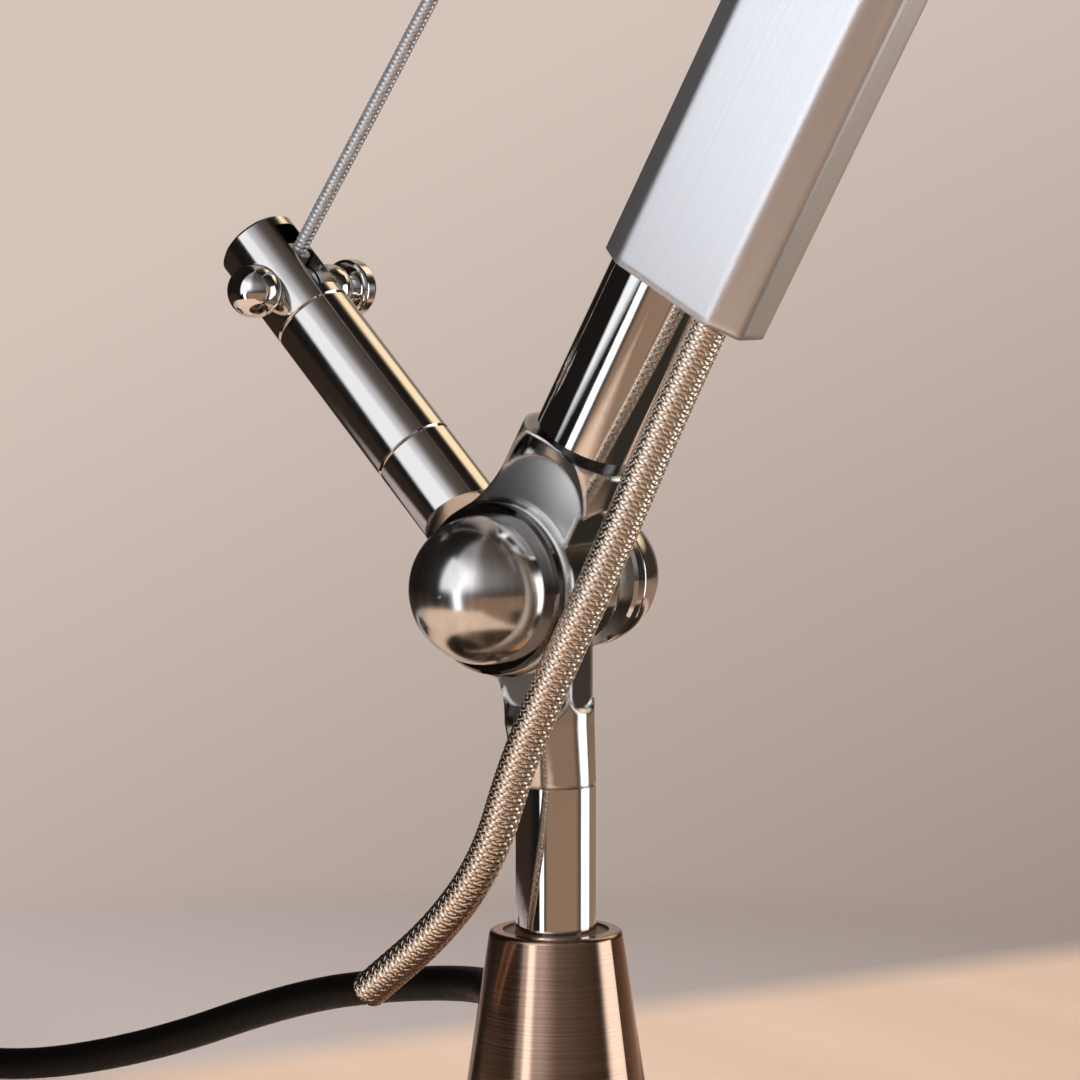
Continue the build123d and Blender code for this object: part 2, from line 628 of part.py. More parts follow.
def profile_outline(inset):
    """The profile's eight-sided section as (q, y), drawn in by an inset."""
    top = -PROFILE_ABOVE
    foot = top + PROFILE_FACE + 2 * PROFILE_BEVEL_Q
    front = -PROFILE_FRONT
    side = front + PROFILE_BEVEL_Y
    rear = side + PROFILE_SIDE
    back = rear + PROFILE_BACK_Y
    points = [
        (top + PROFILE_BEVEL_Q, front),
        (foot - PROFILE_BEVEL_Q, front),
        (foot, side),
        (foot, rear),
        (foot - PROFILE_BACK_Q, back),
        (top + PROFILE_BACK_Q, back),
        (top, rear),
        (top, side),
    ]
    outline = make_face(Polyline(*points, close=True))
    if inset:
        return offset(outline, amount=-inset, kind=Kind.INTERSECTION)
    return fillet(outline.vertices(), PROFILE_EDGE_ROUND)


def profile_length(inset, low, high):
    """A length of the section from low to high along the arm."""
    return Pos(0, 0, low) * extrude(profile_outline(inset), high - low)


def arm_profile():
    """The brushed aluminium profile, a hollow extrusion."""
    body = profile_length(0, PROFILE_START, PROFILE_END) - profile_length(PROFILE_WALL, PROFILE_START, PROFILE_END)
    for place in block_screw_places():
        body -= ARM_BACK * place * rod(BLOCK_SCREW_DIAMETER, -PROFILE_WALL * 2, PROFILE_WALL * 2)
    return body


PROFILE_BACK = -PROFILE_FRONT + PROFILE_BEVEL_Y + PROFILE_SIDE + PROFILE_BACK_Y
PROFILE_MIDDLE = -PROFILE_ABOVE + PROFILE_BEVEL_Q + PROFILE_FACE / 2
ARM_BACK = Plane((PROFILE_MIDDLE, PROFILE_BACK, PROFILE_END - BLOCK_PLUG / 2), x_dir=(1, 0, 0), z_dir=(0, 1, 0))


def block_screw_places():
    """The two screws through the back of the profile into the top block."""
    return GridLocations(BLOCK_SCREW_SPACING, 1, 2, 1)


def block_screws():
    """Two pan head screws, as separate solids."""
    screw = rod(BLOCK_SCREW_HEAD, 0, BLOCK_SCREW_HEAD_HEIGHT)
    screw += rod(BLOCK_SCREW_DIAMETER, -PROFILE_BACK, 0)
    return Compound([ARM_BACK * place * screw for place in block_screw_places()])


def end_insert():
    """The insert in the profile's lower end, bored for the tube and the braided lead."""
    low = PROFILE_START + INSERT_RECESS
    high = low + INSERT_LENGTH
    body = profile_length(PROFILE_WALL + FIT_GAP, low, high)
    body -= rod(TUBE_SPIGOT, low, high)
    return body - rod(BRAID_DIAMETER + 2 * GROMMET_WALL, low, high, BRAID_ACROSS, -BRAID_FRONT)


def lead_grommet():
    """The sleeve of the braided lead in the insert."""
    low = PROFILE_START + INSERT_RECESS
    high = low + INSERT_LENGTH
    body = rod(BRAID_DIAMETER + 2 * GROMMET_WALL, low, high, BRAID_ACROSS, -BRAID_FRONT)
    return body - rod(BRAID_DIAMETER, low, high, BRAID_ACROSS, -BRAID_FRONT)


def top_block():
    """The block in the profile's upper end. It covers the end and carries the lug of the upper hinge."""
    body = profile_length(PROFILE_WALL + FIT_GAP, PROFILE_END - BLOCK_PLUG, PROFILE_END)
    body += profile_length(0, PROFILE_END, PROFILE_END + BLOCK_FLANGE)
    half = LUG_WIDTH / 2
    shoulder = PROFILE_END + BLOCK_FLANGE / 2
    foot = -PROFILE_ABOVE + 2 * PROFILE_BEVEL_Q + PROFILE_FACE
    lug = make_face(
        Polyline(
            (-PROFILE_ABOVE + PROFILE_BEVEL_Q, shoulder),
            (foot - PROFILE_BEVEL_Q, shoulder),
            (HINGE_ACROSS + half, HINGE_ALONG - LUG_ROOT_OUTER),
            (HINGE_ACROSS + half, HINGE_ALONG),
            (HINGE_ACROSS - half, HINGE_ALONG),
            (HINGE_ACROSS - half, HINGE_ALONG - LUG_ROOT_INNER),
            close=True,
        )
    )
    lug += Pos(HINGE_ACROSS, HINGE_ALONG) * Circle(LUG_EYE / 2)
    body += side_plate(lug, -LUG_THICKNESS / 2, LUG_THICKNESS / 2)
    for place in block_screw_places():
        body -= ARM_BACK * place * rod(BLOCK_SCREW_DIAMETER, -PROFILE_BACK, PROFILE_BACK)
    hole = AXLE_DIAMETER + 2 * RUN_CLEARANCE
    return body - pin(hole, -LUG_THICKNESS, LUG_THICKNESS, HINGE_ACROSS, HINGE_ALONG)


# The head, in a frame whose origin is the upper hinge
YOKE_HALF = LUG_THICKNESS / 2 + BODY_GAP + YOKE_CHEEK
HEAD_START = YOKE_FLANGE_START + YOKE_FLANGE
HEAD_END = HEAD_START + HEAD_LENGTH
CHAMBER_LOW = -HEAD_HEIGHT / 2 + HEAD_WALL
CHAMBER_HALF = HEAD_WIDTH / 2 - HEAD_WALL


def head_outline():
    """The LED profile's outer section as (y, z), with two bevelled shoulders."""
    wide, high = HEAD_WIDTH / 2, HEAD_HEIGHT / 2
    points = [
        (-wide, -high),
        (wide, -high),
        (wide, high - HEAD_BEVEL),
        (wide - HEAD_BEVEL, high),
        (HEAD_BEVEL - wide, high),
        (-wide, high - HEAD_BEVEL),
    ]
    return make_face(Polyline(*points, close=True))


def head_bar(outline, low, high):
    """A (y, z) outline made a bar from low to high along x."""
    return Pos(low, 0, 0) * extrude(Plane.YZ * outline, high - low)


def upper_chamber(inset):
    """The section of the profile's upper chamber, above its web."""
    inner = offset(head_outline(), amount=-HEAD_WALL - inset, kind=Kind.INTERSECTION)
    return inner & Pos(0, HEAD_HEIGHT + HEAD_WEB + inset) * Rectangle(4 * HEAD_WIDTH, 2 * HEAD_HEIGHT)


def lower_chamber(inset):
    """The section of the lower chamber, under the web, as a rectangle."""
    wide = CHAMBER_HALF - inset
    low, high = CHAMBER_LOW + inset, -inset
    return Pos(0, (low + high) / 2) * Rectangle(2 * wide, high - low)


def head_profile():
    """The LED profile: two chambers with a web between them, and a mouth for the light."""
    outline = fillet(head_outline().vertices(), HEAD_EDGE_ROUND)
    body = head_bar(outline, HEAD_START, HEAD_END)
    body -= head_bar(upper_chamber(0), HEAD_START, HEAD_END)
    body -= head_bar(lower_chamber(0), HEAD_START, HEAD_END)
    mouth = bar(HEAD_START, HEAD_END, -HEAD_MOUTH / 2, HEAD_MOUTH / 2, -HEAD_HEIGHT, CHAMBER_LOW + HEAD_WALL / 2)
    body -= mouth
    hole = BUTTON_DIAMETER + 2 * RUN_CLEARANCE
    return body - rod(hole, HEAD_WEB, HEAD_HEIGHT, HEAD_START + BUTTON_PLACE)


def head_yoke():
    """Two cheeks round the arm's lug, a tail that carries the tail lever, and a plug in the LED profile."""
    outline = Circle(YOKE_EYE / 2) + Pos(YOKE_FLANGE_START / 2, 0) * Rectangle(YOKE_FLANGE_START, YOKE_BAR)
    outline += Rot(0, 0, LEVER_LEAN) * Pos(0, YOKE_TAIL / 2) * Rectangle(YOKE_BAR, YOKE_TAIL)
    body = side_plate(outline, -YOKE_HALF, YOKE_HALF)
    half_slot = LUG_THICKNESS / 2 + BODY_GAP
    body -= pin(YOKE_SLOT, -half_slot, half_slot)
    body += head_bar(fillet(head_outline().vertices(), HEAD_EDGE_ROUND), YOKE_FLANGE_START, HEAD_START)
    body += head_bar(lower_chamber(FIT_GAP), HEAD_START, HEAD_START + YOKE_PLUG)
    body -= pin(AXLE_DIAMETER, -YOKE_HALF, YOKE_HALF)
    socket = rod(LEVER_SPIGOT_DIAMETER, YOKE_TAIL - LEVER_SPIGOT_LENGTH, YOKE_TAIL)
    return body - Rot(0, -LEVER_LEAN, 0) * socket


BOARD_START = HEAD_START + YOKE_PLUG + BOARD_CLEARANCE
BOARD_END = HEAD_END - END_CAP_TONGUE - BOARD_CLEARANCE


def led_board():
    """The board that carries the LEDs, on the underside of the web."""
    wide = CHAMBER_HALF - BOARD_CLEARANCE
    return bar(BOARD_START, BOARD_END, -wide, wide, -BOARD_THICKNESS, 0)


def led_chips():
    """A row of LEDs under the board, as separate solids."""
    pitch = (BOARD_END - BOARD_START) / CHIP_COUNT
    half = CHIP_SIDE / 2
    chip = bar(-half, half, -half, half, -BOARD_THICKNESS - CHIP_HEIGHT, -BOARD_THICKNESS)
    return Compound([Pos(BOARD_START + (i + 0.5) * pitch, 0, 0) * chip for i in range(CHIP_COUNT)])


def diffuser():
    """The milky strip that lies on the profile's two lips."""
    wide = CHAMBER_HALF - BOARD_CLEARANCE
    return bar(BOARD_START, BOARD_END, -wide, wide, CHAMBER_LOW, CHAMBER_LOW + DIFFUSER_THICKNESS)


def head_end_cap():
    """The cap on the head's free end, with a tongue in each chamber."""
    body = head_bar(fillet(head_outline().vertices(), HEAD_EDGE_ROUND), HEAD_END, HEAD_END + END_CAP_THICKNESS)
    body += head_bar(lower_chamber(FIT_GAP), HEAD_END - END_CAP_TONGUE, HEAD_END)
    return body + head_bar(upper_chamber(FIT_GAP), HEAD_END - END_CAP_TONGUE, HEAD_END)


def push_button():
    """The switch's button, kept in the profile's top by its flange."""
    x = HEAD_START + BUTTON_PLACE
    ceiling = HEAD_HEIGHT / 2 - HEAD_WALL - BODY_GAP
    body = rod(BUTTON_DIAMETER, ceiling, HEAD_HEIGHT / 2 + BUTTON_PROUD, x)
    body = fillet(body.edges().sort_by(Axis.Z)[-1], BUTTON_PROUD / 3)
    return body + rod(BUTTON_FLANGE, ceiling - BUTTON_FLANGE_THICKNESS, ceiling, x)


def switch_body():
    """The switch on the web, under the button's whole travel."""
    x = HEAD_START + BUTTON_PLACE
    half = SWITCH_SIDE / 2
    top = HEAD_HEIGHT / 2 - HEAD_WALL - BODY_GAP - BUTTON_FLANGE_THICKNESS - BUTTON_TRAVEL - BODY_GAP
    return bar(x - half, x + half, -half, half, HEAD_WEB, top)


# The cords
def cord_radii(points):
    """The radius at each corner of a cord's route: as large as its two runs allow."""
    corners = [Vector(p) for p in points]
    radii = []
    for before, here, after in zip(corners, corners[1:], corners[2:]):
        turn = radians((here - before).get_angle(after - here))
        radii.append(ARC_SHARE * min((here - before).length, (after - here).length) / tan(turn / 2))
    return radii


def cord_tube(name, points, diameter):
    """A cord's tube: straight runs joined by tangent arcs. Prints its radii and how its volume compares."""
    radii = cord_radii(points)
    path = FilletPolyline(*points, radius=radii)
    section = Plane(path @ 0, z_dir=path % 0) * Circle(diameter / 2)
    tube = sweep(section, path=path)
    share = tube.volume / (pi * diameter**2 / 4 * path.length)
    print(name, "radii", [round(r, 1) for r in radii], "length", round(path.length, 1), "share", round(share, 4))
    return tube


def on_arm(q, y, s):
    """A point given along and across the arm, in the lamp's frame."""
    return ARM.from_local_coords(Vector(q, y, s))


BRAID_TOP = on_arm(BRAID_ACROSS, -BRAID_FRONT, PROFILE_START + INSERT_RECESS + INSERT_LENGTH)
BRAID_EXIT = on_arm(BRAID_ACROSS, -BRAID_FRONT, PROFILE_START + INSERT_RECESS - BRAID_STRAIGHT)
BRAID_ROUTE = [
    BRAID_TOP,
    BRAID_EXIT,
    (22.1, -18.4, 125.7),
    (14.3, -19.7, 110.0),
    (7.1, -20.3, 94.7),
    (1.5, -20.1, 79.1),
    (-8.6, -19.4, 67.0),
    (-21.4, -20.0, 56.5),
]


def braided_lead():
    """The braided steel lead that hangs from the profile's end past the joint, free at its lower end."""
    return cord_tube("braided lead", BRAID_ROUTE, BRAID_DIAMETER)


def lead_ferrule():
    """The pressed end of the braided lead, as thick as the braid."""
    last, before = Vector(BRAID_ROUTE[-1]), Vector(BRAID_ROUTE[-2])
    end = Plane(last, z_dir=(last - before))
    body = rod(BRAID_DIAMETER, 0, FERRULE_LENGTH)
    return end * fillet(body.edges().sort_by(Axis.Z)[-1], FERRULE_ROUND)


def cord_gland():
    """The strain relief on the back of the neck: a shank in the wall, a flange and a tapered sleeve."""
    face = neck_radius(LEAD_EXIT_HEIGHT) - GLAND_FLANGE_SINK
    inner = BUSH_OUTER / 2 + BODY_GAP
    flange = face + GLAND_FLANGE_THICKNESS
    body = rod(GLAND_SHANK, inner, face) + rod(GLAND_FLANGE_DIAMETER, face, flange)
    taper = Cone(GLAND_ROOT_DIAMETER / 2, GLAND_TIP_DIAMETER / 2, GLAND_LENGTH, align=LOW)
    body += Pos(0, 0, flange) * taper
    return GLAND_FRAME * (body - rod(LEAD_DIAMETER, inner, GLAND_TIP))


GLAND_TIP = neck_radius(LEAD_EXIT_HEIGHT) - GLAND_FLANGE_SINK + GLAND_FLANGE_THICKNESS + GLAND_LENGTH
LEAD_START = GLAND_FRAME.from_local_coords(Vector(0, 0, BUSH_OUTER / 2 + BODY_GAP))
LEAD_TIP = GLAND_FRAME.from_local_coords(Vector(0, 0, GLAND_TIP))
COIL_PITCH = LEAD_DIAMETER + COIL_GAP
COIL_FLOOR = TIE_THICKNESS + TIE_GAP + LEAD_DIAMETER / 2
COIL_TOP = COIL_FLOOR + COIL_PITCH
LEAD_ROUTE = [
    LEAD_START,
    LEAD_TIP,
    (-47.0, 42.5, 43.4),
    (-72.0, 51.3, 38.9),
    (-103.0, 59.0, 31.4),
    (-146.0, 66.2, 14.8),
    (-184.0, 68.2, 5.0),
    (-212.0, COIL_PLACE_Y + COIL_OUTER_RADIUS, COIL_FLOOR),
    (COIL_PLACE_X + LEAD_DIAMETER, COIL_PLACE_Y + COIL_OUTER_RADIUS, COIL_FLOOR),
]


def supply_lead():
    """The supply lead from the neck to its coil."""
    return cord_tube("supply lead", LEAD_ROUTE, LEAD_DIAMETER)


def coil_point(turn):
    """A point of the coil: it winds in on the floor, climbs a layer in half a turn and winds out on top."""
    climb = min(max((turn - COIL_TURNS) / COIL_CHANGE, 0), 1)
    inward = min(turn, 2 * COIL_TURNS + COIL_CHANGE - turn)
    radius = COIL_OUTER_RADIUS - COIL_PITCH * inward
    angle = pi / 2 + 2 * pi * turn
    height = COIL_FLOOR + COIL_PITCH * (1 - cos(pi * climb)) / 2
    return Vector(COIL_PLACE_X + radius * cos(angle), COIL_PLACE_Y + radius * sin(angle), height)


def biarc(start, start_way, end, end_way):
    """Two tangent arcs between two points with given directions."""
    span = end - start
    ways = start_way + end_way
    a = 2 * (1 - start_way.dot(end_way))
    b = 2 * span.dot(ways)
    reach = (-b + sqrt(b * b + 4 * a * span.dot(span))) / (2 * a)
    middle = (start + end + (start_way - end_way) * reach) / 2
    way = (middle - start - start_way * reach).normalized()
    return [TangentArc(start, middle, tangent=start_way), TangentArc(middle, end, tangent=way)]


COIL_STEPS = 4 * 2 * COIL_TURNS + 2
COIL_END = coil_point(COIL_STEPS / 4)


def lead_coil():
    """The length that isn't laid out, wound into a two-layer coil as one tube. Prints its gap to itself."""
    knots = [coil_point(i / 4) for i in range(COIL_STEPS + 1)]
    ways = [Vector(-1, 0, 0)]
    ways += [(after - before).normalized() for before, after in zip(knots, knots[2:])]
    ways += [Vector(1, 0, 0)]
    lead_in = knots[0] + Vector(LEAD_DIAMETER, 0, 0)
    lead_out = knots[-1] + Vector(COIL_TAIL, 0, 0)
    edges = [Line(lead_in, knots[0])]
    for i in range(COIL_STEPS):
        edges += biarc(knots[i], ways[i], knots[i + 1], ways[i + 1])
    path = Wire([*edges, Line(knots[-1], lead_out)])
    samples = [path @ (i / COIL_SAMPLES) for i in range(COIL_SAMPLES)]
    apart = round(4 * LEAD_DIAMETER / (path.length / COIL_SAMPLES))
    spans = [(a - b).length for i, a in enumerate(samples) for b in samples[i + apart :]]
    gap = min(spans) - LEAD_DIAMETER
    tube = sweep(Plane(lead_in, z_dir=(-1, 0, 0)) * Circle(LEAD_DIAMETER / 2), path=path)
    share = tube.volume / (pi * LEAD_DIAMETER**2 / 4 * path.length)
    print("lead coil length", round(path.length, 1), "gap", round(gap, 2), "share", round(share, 4))
    return tube


def coil_tie():
    """A strap round the coil's strands, on the side towards the lamp."""
    reach = LEAD_DIAMETER / 2 + TIE_GAP
    low_x = coil_point(COIL_TURNS - 0.25).X - reach
    high_x = coil_point(0.75).X + reach
    half = TIE_WIDTH / 2
    inner = bar(
        low_x, high_x, COIL_PLACE_Y - half, COIL_PLACE_Y + half, COIL_FLOOR - reach, COIL_TOP + reach
    )
    outer = bar(
        low_x - TIE_THICKNESS,
        high_x + TIE_THICKNESS,
        COIL_PLACE_Y - half,
        COIL_PLACE_Y + half,
        COIL_FLOOR - reach - TIE_THICKNESS,
        COIL_TOP + reach + TIE_THICKNESS,
    )
    return outer - inner


PLUG_RADIUS = COIL_TOP - FIT_GAP
PLUG_FRAME = Plane(COIL_END + Vector(COIL_TAIL, 0, 0), x_dir=(0, 1, 0), z_dir=(1, 0, 0))


def plug_body():
    """A round two-pin plug on the coil's upper end, lying on the table."""
    tail = Cone(PLUG_TAIL_DIAMETER / 2, PLUG_NECK_DIAMETER / 2, PLUG_TAIL, align=LOW)
    shell = rod(2 * PLUG_RADIUS, PLUG_TAIL, PLUG_TAIL + PLUG_LENGTH)
    shell = fillet(shell.edges().filter_by(GeomType.CIRCLE), PLUG_EDGE_ROUND)
    body = tail + shell
    for blade in plug_blades():
        body -= blade
    return PLUG_FRAME * body


def plug_blades():
    """The plug's two flat pins, in its own frame."""
    face = PLUG_TAIL + PLUG_LENGTH
    blades = []
    for middle in (-PLUG_PIN_SPACING / 2, PLUG_PIN_SPACING / 2):
        near = middle - PLUG_PIN_THICKNESS / 2
        far = middle + PLUG_PIN_THICKNESS / 2
        half = PLUG_PIN_WIDTH / 2
        blades.append(bar(near, far, -half, half, face - PLUG_PIN_SOCKET, face + PLUG_PIN_LENGTH))
    return blades


def plug_pins():
    """The two pins, as separate solids."""
    return Compound([PLUG_FRAME * blade for blade in plug_blades()])


LOW_WIRE = leaning(LEVER.from_local_coords(Vector(0, 0, LEVER_REACH)), WIRE_LEAN)
HIGH_WIRE = leaning(TAIL.from_local_coords(Vector(0, 0, LEVER_REACH)), WIRE_LEAN + 180)
HEAD_BALL = YOKE_HALF + BEZEL_THICKNESS

export_list = {
    "base_plate": base_plate,
    "foot_pad": lambda: rod(BASE_DIAMETER - 2 * PAD_INSET, 0, PAD_THICKNESS),
    "neck_cone": neck_cone,
    "neck_screws": neck_screws,
    "upper_bush": upper_bush,
    "lower_cup": lower_cup,
    "cord_gland": cord_gland,
    "supply_lead": supply_lead,
    "stem": stem,
    "stem_ring": stem_ring,
    "core_wires": core_wires,
    "lower_knuckle": lower_knuckle,
    "hinge_axle": lambda: LOW_JOINT * axle(-BALL_CENTRE - AXLE_IN_KNOB, axle_end(LUG_FAR)),
    "ball_knob": lambda: LOW_JOINT * ball_knob(BALL_CENTRE - BALL_LIP),
    "knob_bezel": lambda: LOW_JOINT * bezel(FORK_HALF + BODY_GAP),
    "dome_nut": lambda: LOW_JOINT * dome_nut(LUG_FAR),
    "friction_washer": lambda: LOW_JOINT * washer(LUG_NEAR - WASHER_THICKNESS),
    "lever_root": lambda: LEVER * lever_root(),
    "lever_rod": lambda: LEVER * lever_rod(False),
    "lever_cap": lambda: LEVER * lever_cap(1),
    "cross_pin": lambda: LEVER * cross_pin(),
    "pin_nut": lambda: LEVER * pin_nut(),
    "upper_knuckle": lambda: ARM * upper_knuckle(),
    "seat_ring": lambda: ARM * seat_ring(),
    "arm_tube": lambda: ARM * arm_tube(),
    "arm_profile": lambda: ARM * arm_profile(),
    "end_insert": lambda: ARM * end_insert(),
    "lead_grommet": lambda: ARM * lead_grommet(),
    "braided_lead": braided_lead,
    "lead_ferrule": lead_ferrule,
    "top_block": lambda: ARM * top_block(),
    "block_screws": lambda: ARM * block_screws(),
    "head_yoke": lambda: HEAD * head_yoke(),
    "head_profile": lambda: HEAD * head_profile(),
    "led_board": lambda: HEAD * led_board(),
    "led_chips": lambda: HEAD * led_chips(),
    "diffuser": lambda: HEAD * diffuser(),
    "head_end_cap": lambda: HEAD * head_end_cap(),
    "push_button": lambda: HEAD * push_button(),
    "switch_body": lambda: HEAD * switch_body(),
    "head_axle": lambda: HEAD * axle(-HEAD_BALL - BALL_LIP - AXLE_IN_KNOB, axle_end(YOKE_HALF)),
    "head_knob": lambda: HEAD * ball_knob(HEAD_BALL),
    "head_bezel": lambda: HEAD * bezel(YOKE_HALF),
    "head_dome_nut": lambda: HEAD * dome_nut(YOKE_HALF),
    "stay_wire": lambda: LOW_WIRE * stay_wire(),
    "lower_anchor": lambda: LOW_WIRE * wire_anchor(-WIRE_ASIDE),
    "upper_anchor": lambda: HIGH_WIRE * wire_anchor(WIRE_ASIDE),
    "lead_coil": lead_coil,
    "coil_tie": coil_tie,
    "plug_body": plug_body,
    "plug_pins": plug_pins,
    "tail_rod": lambda: TAIL * lever_rod(True),
    "tail_cap": lambda: TAIL * lever_cap(-1),
    "tail_pin": lambda: TAIL * cross_pin(),
    "tail_nut": lambda: TAIL * pin_nut(),
}
for name, make in export_list.items():
    export_step(make(), f"parts/{name}.step")
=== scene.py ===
# %% [markdown]
# A desk lamp seen close up at its lower joint. The rigid pieces come from the imported frame, already in
# place and in metres, so this script gives them their finishes, and makes the pieces whose surface is finer
# than a solid: the wound stay wire, the woven steel lead and the black supply lead. The frame is loaded
# first, because every piece rides on one of its bodies.

# %% Load the frame
import bpy
import numpy as np
from math import cos, pi, radians, sin, tan
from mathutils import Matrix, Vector


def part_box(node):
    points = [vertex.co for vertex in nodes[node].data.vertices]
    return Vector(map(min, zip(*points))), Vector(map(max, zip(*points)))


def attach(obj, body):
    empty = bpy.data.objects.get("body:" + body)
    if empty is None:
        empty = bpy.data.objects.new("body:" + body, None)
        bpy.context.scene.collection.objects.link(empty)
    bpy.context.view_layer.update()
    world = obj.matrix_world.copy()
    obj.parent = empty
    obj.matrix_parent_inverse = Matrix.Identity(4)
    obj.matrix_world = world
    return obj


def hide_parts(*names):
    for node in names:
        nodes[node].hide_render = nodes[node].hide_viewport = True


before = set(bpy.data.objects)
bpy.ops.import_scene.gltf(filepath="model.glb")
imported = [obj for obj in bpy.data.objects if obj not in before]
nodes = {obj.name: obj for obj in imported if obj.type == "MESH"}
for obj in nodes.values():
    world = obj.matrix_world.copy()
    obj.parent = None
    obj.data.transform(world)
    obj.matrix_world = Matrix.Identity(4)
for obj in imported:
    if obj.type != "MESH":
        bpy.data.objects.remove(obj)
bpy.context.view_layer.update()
scene = bpy.context.scene
scene.view_settings.view_transform = "Standard"

# %% [markdown]
# The photograph is a close view with a long lens, from a little above the joint and from the lamp's front
# right. A camera could be aimed with a constraint, but a place and two angles say it better: where it stands,
# and the direction that it looks along. The square picture takes in 16 degrees.

# %% The camera
CAMERA_TURN = radians(36.0)
CAMERA_RISE = radians(5.0)
CAMERA_PLACE = (0.35755, -0.49648, 0.18143)
CAMERA_FIELD = radians(16.0)
CAMERA_SENSOR, CAMERA_NEAR = 36.0, 0.01


def toward_camera(turn, rise):
    """The unit direction from the lamp that lies turn to the right of the camera's side and rise above the
    table."""
    around = CAMERA_TURN + turn
    return Vector((sin(around) * cos(rise), -cos(around) * cos(rise), sin(rise)))


camera = bpy.data.objects.new("camera", bpy.data.cameras.new("camera"))
camera.data.sensor_width = CAMERA_SENSOR
camera.data.lens = CAMERA_SENSOR / 2 / tan(CAMERA_FIELD / 2)
camera.data.clip_start = CAMERA_NEAR
camera.location = CAMERA_PLACE
camera.rotation_euler = (-toward_camera(0.0, CAMERA_RISE)).to_track_quat("-Z", "Y").to_euler()
scene.collection.objects.link(camera)
scene.camera = camera
print("lens", round(camera.data.lens, 1))

# %% [markdown]
# Every finish here is a Principled shader with a few texture nodes before it. Writing each node out by hand
# hides what matters, so a small helper adds a node, sets its sockets and links its inputs in one line. Others
# turn a texture into a colour or a number between two ends. A solid's sharp edge catches no light, while a
# real one is always a little round: a bevel node makes it look round, and leaves the solid as it is.

# %% Helpers for finishes
BEVEL_SAMPLES = 6


def add_node(tree, kind, links=None, values=None, **settings):
    """Adds one node; links and values go to its inputs by name or number, settings to its own properties."""
    made = tree.nodes.new(kind)
    for key, value in settings.items():
        setattr(made, key, value)
    for key, value in (values or {}).items():
        made.inputs[key].default_value = value
    for key, output in (links or {}).items():
        tree.links.new(output, made.inputs[key])
    return made


class Finish:
    """A material under construction: node() adds a node, and shader is its Principled shader."""

    def __init__(self, name, color, rough, metal=0.0, **sockets):
        self.material = bpy.data.materials.new(name)
        self.material.use_nodes = True
        self.tree = self.material.node_tree
        self.shader = self.tree.nodes["Principled BSDF"]
        self.shader.inputs["Base Color"].default_value = (*color, 1.0)
        self.shader.inputs["Roughness"].default_value = rough
        self.shader.inputs["Metallic"].default_value = metal
        for socket, value in sockets.items():
            self.shader.inputs[socket.replace("_", " ")].default_value = value
        self.place = self.node("ShaderNodeTexCoord").outputs["Object"]

    def node(self, kind, links=None, values=None, **settings):
        """Adds one node to this finish."""
        return add_node(self.tree, kind, links, values, **settings)

    def math(self, operation, one, other):
        """The number that an operation makes of an output and of a second output or a plain number."""
        links = {0: one} if isinstance(other, float) else {0: one, 1: other}
        values = {1: other} if isinstance(other, float) else None
        return self.node("ShaderNodeMath", links, values, operation=operation).outputs[0]

    def along_way(self, way):
        """How far a point lies along a direction."""
        return self.node("ShaderNodeVectorMath", {0: self.place}, {1: way},
                         operation="DOT_PRODUCT").outputs["Value"]

    def stretched(self, scale, turn=(0.0, 0.0, 0.0)):
        """Object coordinates, turned and then stretched by a scale for each axis."""
        turned = self.node("ShaderNodeMapping", {"Vector": self.place}, {"Rotation": turn}).outputs[0]
        return self.node("ShaderNodeMapping", {"Vector": turned}, {"Scale": scale}).outputs[0]

    def noise(self, place, scale=1.0, detail=3.0, rough=0.55):
        """Soft noise between 0 and 1."""
        values = {"Scale": scale, "Detail": detail, "Roughness": rough}
        return self.node("ShaderNodeTexNoise", {"Vector": place}, values).outputs["Fac"]

    def between(self, fac, low, high, start=0.3, end=0.7):
        """The number from low to high as fac goes from start to end."""
        values = {1: start, 2: end, 3: low, 4: high}
        return self.node("ShaderNodeMapRange", {0: fac}, values).outputs[0]

    def tint(self, fac, dark, light, start=0.3, end=0.7):
        """The colour from dark to light as fac goes from start to end."""
        ramp = self.node("ShaderNodeValToRGB", {0: fac})
        first, last = ramp.color_ramp.elements
        first.position, first.color = start, (*dark, 1.0)
        last.position, last.color = end, (*light, 1.0)
        return ramp.outputs[0]

    def feed(self, **outputs):
        """Links outputs to the shader's sockets, with _ for a blank."""
        for socket, output in outputs.items():
            self.tree.links.new(output, self.shader.inputs[socket.replace("_", " ")])

    def bump(self, height, strength, depth, eased=0.0):
        """Lets a height in 0 to 1 stand depth metres out of the surface, whose edges look rounded by eased
        metres."""
        links, values = {"Height": height}, {"Strength": strength, "Distance": depth}
        if eased:
            bevel = self.node("ShaderNodeBevel", None, {"Radius": eased}, samples=BEVEL_SAMPLES)
            links["Normal"] = bevel.outputs[0]
        self.feed(Normal=self.node("ShaderNodeBump", links, values).outputs[0])


def wear(finish, *pieces):
    """Gives a finish to CAD nodes, by name, or to new pieces."""
    for piece in pieces:
        obj = nodes[piece] if isinstance(piece, str) else piece
        obj.data.materials.clear()
        obj.data.materials.append(finish.material)


print("helpers ready")

# %% [markdown]
# The supply lead leaves the back of the neck, sinks to the table and runs out of the picture on the left,
# where the rest of it is wound into a flat coil with its plug. A real lead is one length of cable, so it is
# one smooth spline with a round bevel: the route's points come first, then the turns of the coil, which wind
# in on the table, climb one layer in half a turn and wind out on top.

